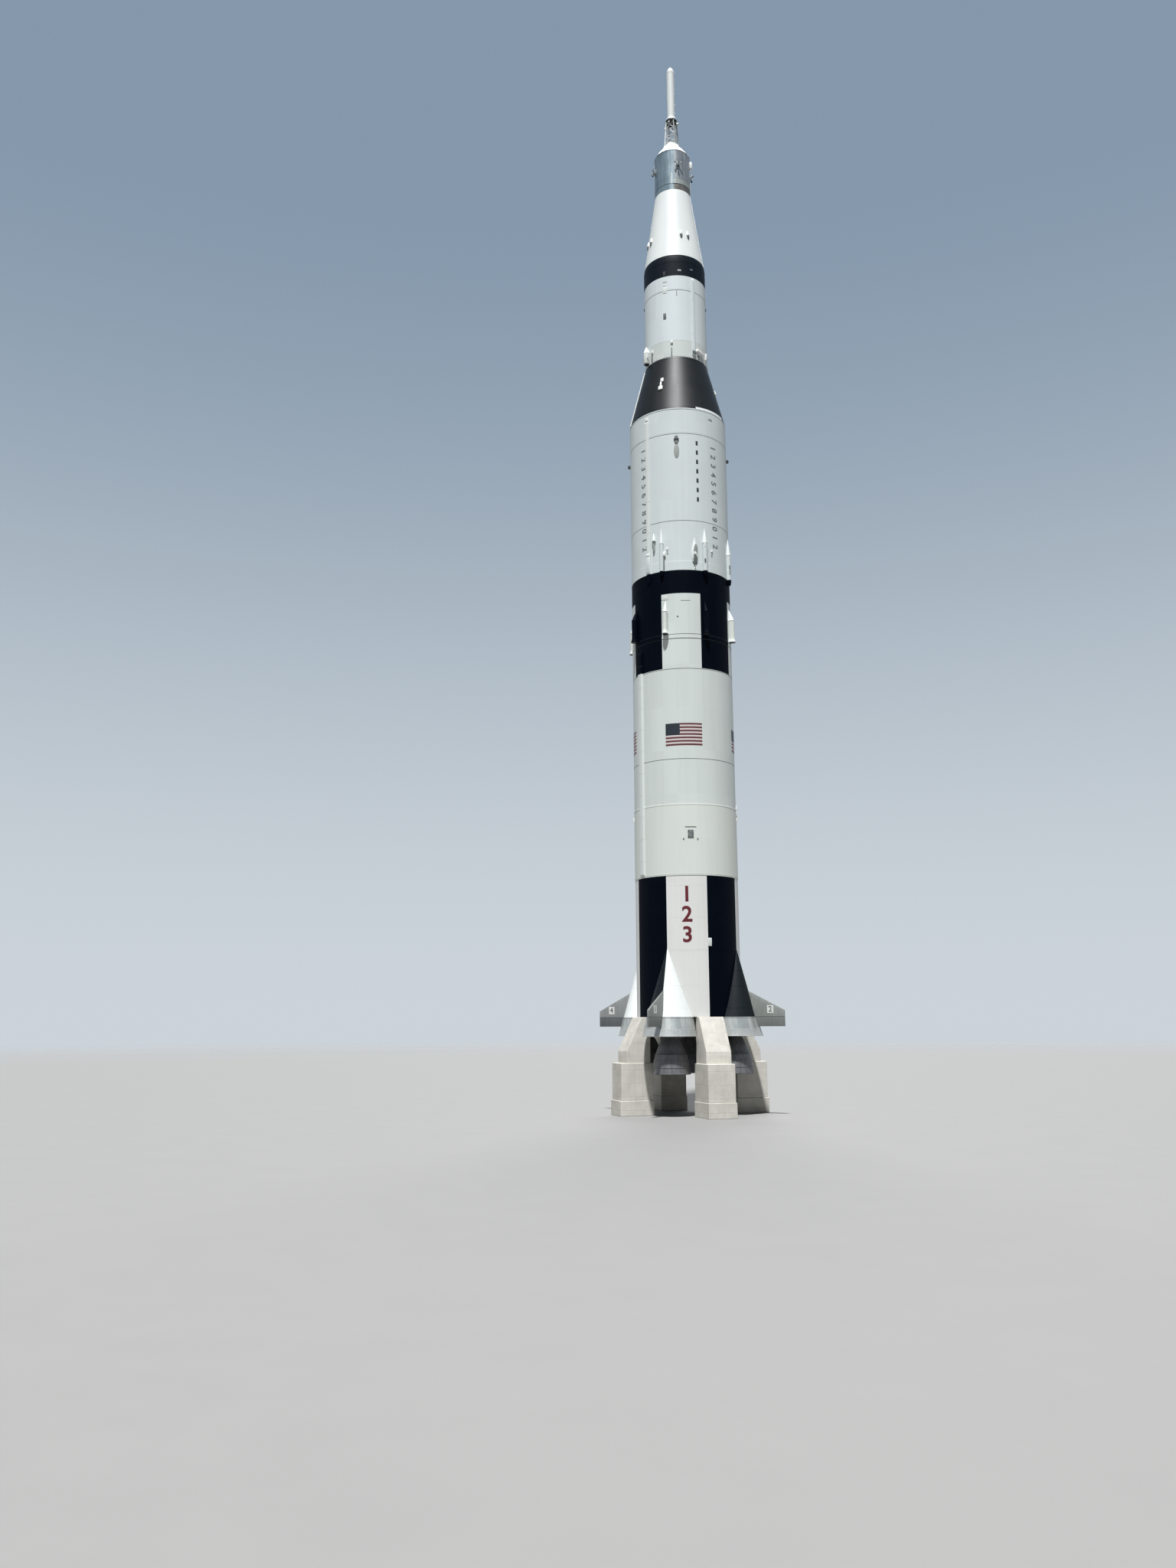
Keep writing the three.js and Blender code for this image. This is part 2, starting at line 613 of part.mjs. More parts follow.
addPiece('escape_tower', cut(joined(towerBars), turned(coverProfile(gap), 48)), 'aluminium');

// Motor case with a flared skirt, four canted nozzles under it, and a blunt nose with a spike
const motorFoot = up(level.towerTop);
const motorNozzle = rod(
  [0, -nozzle.startRadius, motorFoot + nozzle.startRise],
  [0, -nozzle.exitRadius, motorFoot - nozzle.exitDrop],
  nozzle.throat, 12, nozzle.mouth,
);
addPiece('escape_motor', joined([
  turned([
    [0, motorFoot], [motor.skirtRadius, motorFoot], [motor.skirtRadius, motorFoot + motor.lip],
    [motor.radius, up(level.motorSkirtTop)], [motor.radius, up(level.motorTop)], [0, up(level.motorTop)],
  ], 32),
  ...finAzimuths.map((azimuth) => atAzimuth(motorNozzle, azimuth)),
]), 'brightWhite');
addPiece('motor_nose', turned([
  [0, up(level.motorTop) + gap], [motor.radius, up(level.motorTop) + gap],
  [motor.noseShoulder, up(level.motorTop) + motor.noseRise], [motor.spike, up(level.tip) - motor.spikeDrop],
  [0, up(level.tip)],
], 24), 'aluminium');

export default group;
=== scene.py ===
import random
from math import atan2, cos, degrees, pi, radians, sin, tan

import bmesh
import bpy
from mathutils import Matrix, Vector


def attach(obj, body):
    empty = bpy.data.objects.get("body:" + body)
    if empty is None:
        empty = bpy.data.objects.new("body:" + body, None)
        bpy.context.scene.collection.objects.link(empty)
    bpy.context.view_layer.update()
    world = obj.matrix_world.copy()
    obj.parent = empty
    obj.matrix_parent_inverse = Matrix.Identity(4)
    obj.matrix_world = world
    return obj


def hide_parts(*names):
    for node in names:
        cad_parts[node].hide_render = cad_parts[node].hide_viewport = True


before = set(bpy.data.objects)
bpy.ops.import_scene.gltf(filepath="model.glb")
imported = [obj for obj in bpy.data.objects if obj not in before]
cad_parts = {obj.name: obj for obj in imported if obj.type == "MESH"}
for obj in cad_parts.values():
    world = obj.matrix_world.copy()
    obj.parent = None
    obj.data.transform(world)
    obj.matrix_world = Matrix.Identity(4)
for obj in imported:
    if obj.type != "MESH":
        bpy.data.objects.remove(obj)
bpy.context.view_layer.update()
chance = random.Random(11)
print("frame loaded:", len(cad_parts), "nodes")


# Heights are in real inches above the rocket's own datum, as in the part's source.

inch = 0.00254  # one real inch at this scale, in metres
ground = -262
seat = 0.0004  # gap under a joint that the engines, legs and skirts keep


def level(station):
    return (station - ground) * inch


def levelled(profile):
    return [(radius, level(station)) for radius, station in profile]


def spot(azimuth, radius, z):
    return Vector((radius * sin(radians(azimuth)), -radius * cos(radians(azimuth)), z))


def azimuthOf(point):
    return degrees(atan2(point.x, -point.y)) % 360


def shift(x, y, z):
    return Matrix.Translation((x, y, z))


def rotation(angle, axis="Z"):
    return Matrix.Rotation(radians(angle), 4, axis)


def facing(direction):
    return direction.to_track_quat("Z", "Y").to_matrix().to_4x4()


# Shader nodes

class Wire:  # one socket of a node tree, so that sums can be written out
    def __init__(self, graph, socket):
        self.graph = graph
        self.socket = socket

    def maths(self, operation, *values):
        return self.graph.node("ShaderNodeMath", {"operation": operation}, dict(enumerate(values)))

    def __add__(self, other):
        return self.maths("ADD", self, other)

    def __radd__(self, other):
        return self.maths("ADD", other, self)

    def __sub__(self, other):
        return self.maths("SUBTRACT", self, other)

    def __rsub__(self, other):
        return self.maths("SUBTRACT", other, self)

    def __mul__(self, other):
        return self.maths("MULTIPLY", self, other)

    def __rmul__(self, other):
        return self.maths("MULTIPLY", other, self)

    def __truediv__(self, other):
        return self.maths("DIVIDE", self, other)

    def __pow__(self, other):
        return self.maths("POWER", self, other)

    def __abs__(self):
        return self.maths("ABSOLUTE", self)

    def floor(self):
        return self.maths("FLOOR", self)

    def fraction(self):
        return self.maths("FRACT", self)


class Graph:  # a node tree and the one call that adds a node to it
    def __init__(self, tree):
        self.tree = tree

    def node(self, kind, settings, values, result=0):
        made = self.tree.nodes.new(kind)
        for key, value in settings.items():
            if key == "stops":
                for element, (position, colour) in zip(made.color_ramp.elements, value):
                    element.position = position
                    element.color = (*colour, 1)
            else:
                setattr(made, key, value)
        for key, value in values.items():
            named = (s for s in made.inputs if s.enabled and s.name == key)
            self.join(made.inputs[key] if isinstance(key, int) else next(named), value)
        outputs = [s for s in made.outputs if s.enabled]
        named = (s for s in outputs if s.name == result)
        return Wire(self, outputs[result] if isinstance(result, int) else next(named))

    def join(self, target, value):
        if isinstance(value, Wire):
            self.tree.links.new(value.socket, target)
        elif isinstance(value, tuple) and len(value) == 3 and target.type == "RGBA":
            target.default_value = (*value, 1)
        else:
            target.default_value = value


class Finish(Graph):  # a material
    def __init__(self, name, fixed):
        self.material = bpy.data.materials.new(name)
        self.material.use_nodes = True
        super().__init__(self.material.node_tree)
        self.shader = self.tree.nodes["Principled BSDF"]
        for key, value in fixed.items():
            self.shader.inputs[key].default_value = value
        self.place = self.node("ShaderNodeTexCoord", {}, {}, "Object")
        self.x, self.y, self.z = (self.node("ShaderNodeSeparateXYZ", {}, {0: self.place}, axis) for axis in "XYZ")

    def feed(self, name, value):
        self.join(self.shader.inputs[name], value)

    def noise(self, scale, detail=2.0, stretch=(1, 1, 1), rough=0.5):
        placed = self.node("ShaderNodeMapping", {}, {"Vector": self.place, "Scale": stretch})
        return self.node("ShaderNodeTexNoise", {},
                         {"Vector": placed, "Scale": scale, "Detail": detail, "Roughness": rough})

    def azimuth(self):
        return self.x.maths("ARCTAN2", self.x, 0 - self.y) * (180 / pi)

    def cells(self, across, up):
        at = self.node("ShaderNodeCombineXYZ", {}, {0: across.floor(), 1: up.floor()})
        return self.node("ShaderNodeTexWhiteNoise", {"noise_dimensions": "2D"}, {"Vector": at}, "Value")

    def step(self, value, low, high):
        return self.node("ShaderNodeMapRange", {"interpolation_type": "SMOOTHSTEP"},
                         {"Value": value, "From Min": low, "From Max": high})

    def mix(self, factor, first, second):
        return self.node("ShaderNodeMix", {"data_type": "RGBA"}, {"Factor": factor, "A": first, "B": second})

    def shade(self, colour, value):
        return self.node("ShaderNodeVectorMath", {"operation": "SCALE"}, {0: colour, "Scale": value})

    def bump(self, height, strength, distance):
        made = self.node("ShaderNodeBump", {}, {"Height": height, "Strength": strength, "Distance": distance})
        self.feed("Normal", made)


# Paints. Colours are linear; tone, streaks and mottle are shares of the colour's brightness.

paintLooks = {  # colour, tone, streaks, mottle, roughness
    "whitePaint": ((0.585, 0.63, 0.612), 0.055, 0.07, 0.06, 0.4),
    "warmWhitePaint": ((0.615, 0.65, 0.612), 0.03, 0.06, 0.06, 0.4),
    "coolWhitePaint": ((0.585, 0.64, 0.645), 0.045, 0.07, 0.06, 0.4),
    "highWhitePaint": ((0.635, 0.695, 0.71), 0.045, 0.07, 0.06, 0.4),
    "skirtPaint": ((0.64, 0.68, 0.665), 0.03, 0.06, 0.05, 0.4),
    "plainWhitePaint": ((0.655, 0.66, 0.645), 0.03, 0.06, 0.05, 0.4),
    "brightPaint": ((0.70, 0.735, 0.725), 0.025, 0.05, 0.04, 0.36),
    "fittingPaint": ((0.74, 0.76, 0.74), 0.02, 0.08, 0.05, 0.35),
    "seamPaint": ((0.30, 0.325, 0.315), 0.06, 0.2, 0.15, 0.55),
    "crackPaint": ((0.13, 0.145, 0.145), 0.06, 0.2, 0.15, 0.6),
    "doorPaint": ((0.125, 0.15, 0.145), 0.05, 0.2, 0.15, 0.5),
    "shadePaint": ((0.022, 0.028, 0.032), 0.1, 0.2, 0.25, 0.6),
    "figurePaint": ((0.15, 0.17, 0.17), 0.03, 0.2, 0.2, 0.5),
    "redPaint": ((0.108, 0.010, 0.017), 0.03, 0.16, 0.14, 0.45),
    "stripePaint": ((0.10, 0.028, 0.03), 0.03, 0.12, 0.14, 0.45),
    "paleStripePaint": ((0.56, 0.50, 0.50), 0.03, 0.08, 0.08, 0.45),
    "cantonPaint": ((0.015, 0.022, 0.030), 0.03, 0.15, 0.2, 0.45),
}
sheets = {"paint": 15, "black": 7.5, "height": 0.43}  # width of the skin's sheets in degrees, height in metres


def paintGrain(paint):
    paint.bump(paint.noise(240, 3) * 0.15 + paint.noise(7, 2, (1, 1, 0.6)), 0.35, 0.0009)


def paintFinish(name):
    colour, tone, streaking, mottling, rough = paintLooks[name]
    paint = Finish(name, {"Specular IOR Level": 0.35, "Coat Roughness": 0.25, "Coat Weight": 0.05})
    sheet = paint.cells(paint.azimuth() / sheets["paint"], paint.z / sheets["height"])
    streaks = paint.step(paint.noise(26, 4, (1, 1, 0.035)), 0.46, 0.78)
    runs = paint.step(paint.noise(70, 3, (1, 1, 0.02)), 0.55, 0.8)
    mottle = paint.noise(2.3, 5, rough=0.62)
    grime = paint.step(paint.noise(9, 6, (1, 1, 0.5), 0.7), 0.55, 0.85)
    brightness = 1 + tone * (sheet - 0.5) + mottling * (mottle - 0.5) \
        - streaking * (0.55 * streaks + 0.25 * runs + 0.35 * grime)
    paint.feed("Base Color", paint.shade(colour, brightness))
    paint.feed("Roughness", rough + 0.16 * (mottle - 0.5) + 0.10 * streaks)
    paintGrain(paint)
    return paint.material


blackLooks = {  # colour, dust that settles in streaks and on some sheets, roughness, gloss
    "blackPaint": ((0.0008, 0.0022, 0.0056), (0.004, 0.007, 0.012), 0.5, 0.03),
    "coneBlack": ((0.0036, 0.0046, 0.0052), (0.016, 0.017, 0.016), 0.45, 0.28),
    # black paint with the sheen of the upward-tilted engine fairings painted in, lighter than blackPaint
    "fairingBlackAndSheen": ((0.0062, 0.0088, 0.0115), (0.018, 0.023, 0.027), 0.5, 0.14),
    "bandPaint": ((0.0045, 0.0078, 0.0130), (0.014, 0.019, 0.025), 0.5, 0.09),
}


def blackFinish(name):
    colour, dusty, rough, gloss = blackLooks[name]
    paint = Finish(name, {"Specular IOR Level": gloss})
    streaks = paint.step(paint.noise(30, 4, (1, 1, 0.03)), 0.5, 0.85)
    sheet = paint.cells(paint.azimuth() / sheets["black"], paint.z / sheets["height"])
    mottle = paint.noise(3, 5, rough=0.65)
    dust = streaks * 0.25 + sheet * 0.08 + paint.step(mottle, 0.5, 0.8) * 0.25
    paint.feed("Base Color", paint.mix(dust, colour, dusty))
    paint.feed("Roughness", rough + 0.14 * (mottle - 0.5) + 0.02 * (sheet - 0.5))
    paintGrain(paint)
    return paint.material


# Metals: a dark and a light tone mixed along the grain, with clouds and stains

metalLooks = {  # colour, dark tone, roughness, grain (the smaller, the longer it runs up the piece), metallic
    "skirtSheet": ((0.50, 0.52, 0.505), (0.40, 0.415, 0.405), 0.36, 0.02, 0.4),
    "skirtSheetDull": ((0.41, 0.43, 0.42), (0.31, 0.33, 0.325), 0.4, 0.02, 0.45),
    "finSheet": ((0.245, 0.262, 0.245), (0.195, 0.21, 0.20), 0.5, 0.1, 0.25),
    # a bluer copy of the fin sheet for the fin at azimuth 270: painted shade on that fin
    "finSheetShadeCopy": ((0.26, 0.27, 0.265), (0.21, 0.22, 0.22), 0.5, 0.1, 0.25),
    "finFoot": ((0.215, 0.23, 0.225), (0.17, 0.182, 0.178), 0.5, 0.1, 0.25),
    # a much darker copy of the fin foot for the fin at azimuth 270: painted shade on that fin
    "finFootShadeCopy": ((0.135, 0.145, 0.15), (0.105, 0.115, 0.12), 0.5, 0.1, 0.25),
    # the silver sheets are tinted teal-blue: painted reflection of the sky
    "moduleSheetSkyTint": ((0.33, 0.41, 0.44), (0.17, 0.22, 0.25), 0.32, 0.05, 0.7),
    "radiatorSheet": ((0.37, 0.40, 0.42), (0.22, 0.24, 0.255), 0.4, 0.02, 0.5),
    "bandSheet": ((0.42, 0.46, 0.44), (0.29, 0.315, 0.30), 0.42, 0.3, 0.4),
    "stepSheet": ((0.20, 0.19, 0.175), (0.10, 0.095, 0.09), 0.45, 0.3, 0.5),
    "bellMetal": ((0.20, 0.20, 0.205), (0.12, 0.12, 0.125), 0.48, 0.02, 0.4),
    "bellInside": ((0.05, 0.047, 0.045), (0.015, 0.014, 0.014), 0.65, 0.02, 0.3),
    "pipeMetal": ((0.30, 0.30, 0.30), (0.14, 0.14, 0.14), 0.38, 1, 0.9),
    "towerMetal": ((0.70, 0.73, 0.73), (0.48, 0.50, 0.51), 0.42, 1, 0.15),
    "darkMetal": ((0.045, 0.05, 0.055), (0.018, 0.02, 0.022), 0.5, 1, 0.5),
}


def metalFinish(name):
    colour, dark, rough, grain, metallic = metalLooks[name]
    metal = Finish(name, {"Metallic": metallic, "Specular IOR Level": 0.5})
    brushed = metal.noise(60, 5, (1, 1, grain), 0.6)
    clouds = metal.noise(7, 5, (1, 1, 0.5), 0.6)
    stains = metal.step(metal.noise(17, 6, (1, 1, 0.25), 0.7), 0.5, 0.8)
    worn = metal.step(0.55 * brushed + 0.45 * clouds, 0.36, 0.66)
    metal.feed("Base Color", metal.shade(metal.mix(worn, dark, colour), 1 - 0.12 * stains))
    metal.feed("Roughness", rough + 0.18 * (clouds - 0.5) + 0.08 * stains)
    metal.bump(brushed * 0.25 + metal.noise(11, 2), 0.35, 0.0011)
    return metal.material


concreteLook = {
    "pale": (0.60, 0.585, 0.535), "deep": (0.49, 0.475, 0.43), "stain": (0.33, 0.32, 0.285),
    "boardWidth": 0.0365, "lift": 0.122, "tieSpacing": 0.061, "tieRadius": (0.0013, 0.0019),
}


def concreteFinish(name):
    look = concreteLook
    stone = Finish(name, {"Specular IOR Level": 0.3})
    chart = stone.node("ShaderNodeUVMap", {"uv_map": "faces"}, {})
    across, up = (stone.node("ShaderNodeSeparateXYZ", {}, {0: chart}, axis) for axis in "XY")
    board = stone.cells(across / look["boardWidth"], up / look["lift"])
    joint = 1 - stone.step(abs((up / look["lift"]).fraction() - 0.5) * 2, 0.955, 0.985)
    seam = 1 - stone.step(abs((across / look["boardWidth"]).fraction() - 0.5) * 2, 0.93, 0.985)
    tieAcross = ((across / look["tieSpacing"]).fraction() - 0.5) * look["tieSpacing"]
    tieUp = ((up / look["tieSpacing"] + 0.5).fraction() - 0.5) * look["tieSpacing"]
    tie = stone.step((tieAcross * tieAcross + tieUp * tieUp) ** 0.5, *look["tieRadius"])
    clouds = stone.noise(5, 6, rough=0.65)
    pores = stone.step(stone.noise(210, 3), 0.30, 0.40)
    streaks = stone.step(stone.noise(34, 5, (1, 1, 0.045), 0.65), 0.5, 0.8)
    base = stone.mix(stone.step(clouds, 0.32, 0.68), look["deep"], look["pale"])
    stained = stone.mix(streaks * 0.28, base, look["stain"])
    shade = (0.96 + 0.08 * board) * (0.88 + 0.12 * joint) * (0.96 + 0.04 * seam) \
        * (0.8 + 0.2 * tie) * (0.93 + 0.07 * pores)
    relief = board * 0.12 + joint * 0.5 + seam * 0.2 + tie * 0.8 + pores * 0.3 + stone.noise(90, 5) * 0.35
    stone.feed("Base Color", stone.shade(stained, shade))
    stone.feed("Roughness", 0.76 + 0.2 * clouds)
    stone.bump(relief, 0.6, 0.0014)
    return stone.material


finishes = {name: paintFinish(name) for name in paintLooks}
finishes.update({name: blackFinish(name) for name in blackLooks})
finishes.update({name: metalFinish(name) for name in metalLooks})
finishes["concrete"] = concreteFinish("concrete")
print("finishes:", len(finishes))


# Mesh helpers

def turned(profile, steps, centre=(0.0, 0.0), sweep=360.0, start=0.0):
    bm = bmesh.new()
    at = Vector((*centre, 0))
    verts = [bm.verts.new(at + spot(start, radius, z)) for radius, z in profile]
    edges = [bm.edges.new(pair) for pair in zip(verts, verts[1:])]
    bmesh.ops.spin(bm, geom=verts + edges, cent=at, axis=(0, 0, 1), angle=radians(sweep), steps=steps,
                   use_merge=sweep == 360.0)
    bmesh.ops.remove_doubles(bm, verts=bm.verts, dist=1e-6)
    return bm


def bevelled(bm, edges, offset, segments=2):
    bmesh.ops.bevel(bm, geom=edges, offset=offset, offset_type="OFFSET", affect="EDGES", segments=segments,
                    profile=0.5, material=-1)
    return bm


def block(size, at=(0, 0, 0), edge=0.0, segments=2):
    bm = bmesh.new()
    bmesh.ops.create_cube(bm, size=1.0)
    bmesh.ops.scale(bm, vec=size, verts=bm.verts)
    bmesh.ops.translate(bm, vec=at, verts=bm.verts)
    return bevelled(bm, list(bm.edges), edge, segments) if edge else bm


def loaf(width, height, proud, root=0.003):
    # block with its two long outer edges well rounded and the rest eased
    bm = block((width, proud + root, height), (0, (root - proud) / 2, 0))
    outer = [e for e in bm.edges if all(v.co.y < 0 for v in e.verts)]
    return bevelled(bm, outer, min(0.45 * proud, 0.3 * width, 0.3 * height), 3)


def plate(outline, depth):
    # outline of (across, up) pairs; the plate's outer face is at -depth on Y
    bm = bmesh.new()
    face = bm.faces.new([bm.verts.new((across, 0, up)) for across, up in outline])
    made = bmesh.ops.extrude_face_region(bm, geom=[face])["geom"]
    bmesh.ops.translate(bm, vec=(0, -depth, 0), verts=[v for v in made if isinstance(v, bmesh.types.BMVert)])
    bmesh.ops.recalc_face_normals(bm, faces=bm.faces)
    return bm


def lofted(rings, steps):
    # rings of (centre, half width, reach, z): ovals about azimuth 0, bridged from the first up, closed at both ends
    bm = bmesh.new()
    edges = []
    for centre, half, reach, z in rings:
        before = set(bm.verts)
        bmesh.ops.create_circle(bm, cap_ends=False, radius=1.0, segments=steps)
        fresh = [v for v in bm.verts if v not in before]
        bmesh.ops.scale(bm, vec=(half, reach, 1), verts=fresh)
        bmesh.ops.translate(bm, vec=(0, -centre, z), verts=fresh)
        edges.append(list(dict.fromkeys(e for v in fresh for e in v.link_edges)))
    for low, high in zip(edges, edges[1:]):
        bmesh.ops.bridge_loops(bm, edges=low + high)
    for end in (edges[0], edges[-1]):
        bmesh.ops.edgeloop_fill(bm, edges=end)
    bmesh.ops.recalc_face_normals(bm, faces=bm.faces)
    return bm


def cut(bm, at, towards, geom=None, near=1e-6):
    bmesh.ops.bisect_plane(bm, geom=geom or [*bm.verts, *bm.edges, *bm.faces], dist=near, plane_co=at,
                           plane_no=towards)


def sliced(bm, pitch=0.012):
    # cuts a flat mesh into narrow strips, so that it can follow a round wall
    reach = max(abs(v.co.x) for v in bm.verts)
    for i in range(-int(reach / pitch), int(reach / pitch) + 1):
        cut(bm, (i * pitch, 0, 0), (1, 0, 0))
    return bm


def laid(bm, azimuth, z, radiusAt):
    # bends a mesh built on the XZ plane round the rocket: X is the arc, -Y is outward
    for v in bm.verts:
        height = z + v.co.z
        base = radiusAt(height)
        v.co = spot(azimuth + degrees(v.co.x / base), base - v.co.y, height)
    return bm


def moved(bm, *matrices):
    for matrix in matrices:
        bmesh.ops.transform(bm, matrix=matrix, verts=bm.verts)
    return bm


def onWall(azimuth, radius, z, lean=0.0):
    return rotation(azimuth) @ shift(0, -radius, z) @ rotation(-lean, "X")


def figures(text, size, weight, depth):
    # plain figures standing on the XZ plane, facing -Y
    curve = bpy.data.curves.new("figures", "FONT")
    curve.body = text
    curve.size = size
    curve.offset = weight
    curve.extrude = depth
    curve.resolution_u = 6
    curve.align_x = "CENTER"
    curve.align_y = "CENTER"
    carrier = bpy.data.objects.new("figures", curve)
    bpy.context.scene.collection.objects.link(carrier)
    bpy.context.view_layer.update()
    mesh = bpy.data.meshes.new_from_object(carrier.evaluated_get(bpy.context.evaluated_depsgraph_get()))
    bm = bmesh.new()
    bm.from_mesh(mesh)
    bpy.data.objects.remove(carrier)
    bpy.data.curves.remove(curve)
    bpy.data.meshes.remove(mesh)
    bmesh.ops.remove_doubles(bm, verts=bm.verts, dist=1e-6)
    return moved(bm, rotation(90, "X"))


def painted(bm, look):
    # look is a finish number, or a rule that gives one from a face's centre
    for face in bm.faces:
        face.material_index = look(face.calc_center_median()) if callable(look) else look
    return bm


def below(station, under, over):
    # rule for a piece whose finish changes at a height
    return lambda centre: under if centre.z < level(station) else over


def gathered(parts):
    # one mesh of several; each part is (mesh, look) or (mesh, look, places), and no look keeps what it has
    whole = bmesh.new()
    for bm, look, *places in parts:
        if look is not None:
            painted(bm, look)
        bmesh.ops.recalc_face_normals(bm, faces=bm.faces)
        carrier = bpy.data.meshes.new("carrier")
        for place in places[0] if places else [Matrix.Identity(4)]:
            bm.to_mesh(carrier)
            carrier.transform(place)
            whole.from_mesh(carrier)
        bpy.data.meshes.remove(carrier)
        bm.free()
    return whole


def finished(bm, name, looks, slot, stands=(), body="rocket", sharp=32):
    bmesh.ops.remove_doubles(bm, verts=bm.verts, dist=1e-7)
    bmesh.ops.recalc_face_normals(bm, faces=bm.faces)
    mesh = bpy.data.meshes.new(name)
    bm.to_mesh(mesh)
    bm.free()
    for look in looks:
        mesh.materials.append(finishes[look])
    mesh.shade_smooth()
    mesh.set_sharp_from_angle(angle=radians(sharp))
    piece = bpy.data.objects.new(name, mesh)
    bpy.context.scene.collection.objects.link(piece)
    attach(piece, body)
    if stands:
        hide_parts(*stands)


# Stage shells. Each row: node, bottom and top in inches, radii, paint or paint rule, lines round it, record's slot.

lineShapes = {  # profiles of a line round a shell: (height, outward), in metres
    "joint": [(-0.0030, 0), (-0.0026, -0.0024), (0.0026, -0.0024), (0.0030, 0)],
    "crack": [(-0.0042, 0), (-0.0038, -0.0034), (0.0038, -0.0034), (0.0042, 0)],
    "lap": [(-0.0009, 0), (-0.0007, -0.0005), (0.0007, -0.0005), (0.0009, 0)],
    "lip": [(-0.0038, 0), (-0.0032, 0.0014), (0.0032, 0.0014), (0.0038, 0)],
    "rib": [(-0.003, 0), (-0.0024, 0.0012), (0.0024, 0.0012), (0.003, 0)],
}
lineReach = {"height": 0.0046, "depth": 0.0006}  # how near a line a face lies, and how far off the wall

stageRadius, upperRadius, ringRadius, moduleRadius, tankRadius = 0.503, 0.3302, 0.3244, 0.1956, 0.506
shells = [
    {"node": "thrust_structure", "span": (93, 336), "paint": "sectors", "slot": "white_paint",
     "lines": [(99, "lap"), (205, "lap"), (330, "lap")]},
    {"node": "fuel_tank", "span": (336, 612), "paint": "sectors", "slot": "white_paint",
     "lines": [(455, "lap"), (575, "lap")]},
    {"node": "oxidizer_tank", "span": (885, 1415), "paint": "whitePaint", "slot": "white_paint",
     "lines": [(1057, "joint"), (1412, "joint")]},
    {"node": "forward_skirt_1", "span": (1415, 1535), "paint": "sectors", "slot": "white_paint",
     "lines": [(1533.4, "joint")]},
    {"node": "separation_ring", "span": (1535, 1549), "radii": (0.5045, 0.5045), "paint": "sectors",
     "slot": "black_paint", "lines": []},
    {"node": "interstage_2", "span": (1549, 1750), "paint": "panels", "slot": "black_paint",
     "lines": [(1551.5, "joint"), (1717, "lap")]},
    {"node": "aft_skirt_2", "span": (1750, 1812), "paint": "blackPaint", "slot": "black_paint",
     "lines": [(1790, "lap")]},
    {"node": "tank_2", "span": (1812, 2393), "paint": "coolWhitePaint", "slot": "white_paint", "foot": 1850,
     "lines": [(2018, "joint"), (2388, "joint")]},
    {"node": "forward_skirt_2", "span": (2393, 2500), "paint": "coolWhitePaint", "slot": "white_paint",
     "lines": [(2494, "joint")]},
    {"node": "interstage_3", "span": (2500, 2764), "radii": (stageRadius, upperRadius), "paint": "conePatches",
     "slot": "black_paint", "lines": [(2508, "rib"), (2756, "rib")]},
    {"node": "aft_skirt_3", "span": (2764, 2838), "radii": (upperRadius, upperRadius), "paint": "whitePaint",
     "slot": "white_paint", "lines": [(2768, "lap")]},
    {"node": "tank_3", "span": (2838, 3072), "radii": (upperRadius, upperRadius), "paint": "highWhitePaint",
     "slot": "white_paint", "lines": [(3067, "joint")]},
    {"node": "forward_skirt_3", "span": (3072, 3195), "radii": (upperRadius, upperRadius), "paint": "darkTop",
     "slot": "white_paint", "lines": [(3134, "lap")]},
    {"node": "instrument_ring", "span": (3195, 3231), "radii": (upperRadius, upperRadius, ringRadius),
     "paint": "bandPaint", "slot": "black_paint", "lines": [(3200, "lap")]},
    {"node": "adapter", "span": (3231, 3579), "radii": (ringRadius, moduleRadius), "paint": "brightPaint",
     "slot": "bright_white_paint", "lines": [(3240, "lap")]},
]
shellLooks = ["whitePaint", "blackPaint", "seamPaint", "coolWhitePaint", "brightPaint", "bandPaint", "coneBlack",
              "skirtPaint", "shadePaint", "plainWhitePaint", "highWhitePaint"]
darkLooks = ("blackPaint", "bandPaint", "coneBlack")
shellEdge = {"gap": 0.0003, "ease": 0.0012, "foot": 0.0025, "footSlope": 0.002, "taper": 3215, "steps": 240}
wallBands = [  # bottom and top in inches, and the radius at each, where the wall isn't the big stages'
    (612, 885, tankRadius, tankRadius), (1812, 1850, 0.5055, 0.5055), (2500, 2764, stageRadius, upperRadius),
    (2764, 3215, upperRadius, upperRadius), (3215, 3231, upperRadius, ringRadius),
    (3231, 3579, ringRadius, moduleRadius), (3579, 3771, moduleRadius, moduleRadius),
]


def sectorPaint(azimuth, z):
    if azimuth % 90 >= 45:
        return "blackPaint"
    return "plainWhitePaint" if z < level(612) else "whitePaint"


paintRules = {
    "sectors": sectorPaint,
    "panels": lambda azimuth, z: sectorPaint(azimuth, z) if z < level(1717) else "blackPaint",
    "conePatches": lambda azimuth, z: "brightPaint" if 45 < azimuth % 180 < 90 and z < level(2621) else "coneBlack",
    "darkTop": lambda azimuth, z: "bandPaint" if z > level(3134) else "highWhitePaint",
}


def wallAt(z):
    # the rocket's outer radius at a height
    for low, high, start, end in wallBands:
        if level(low) <= z < level(high):
            return start + (end - start) * (z - level(low)) / (level(high) - level(low))
    return stageRadius


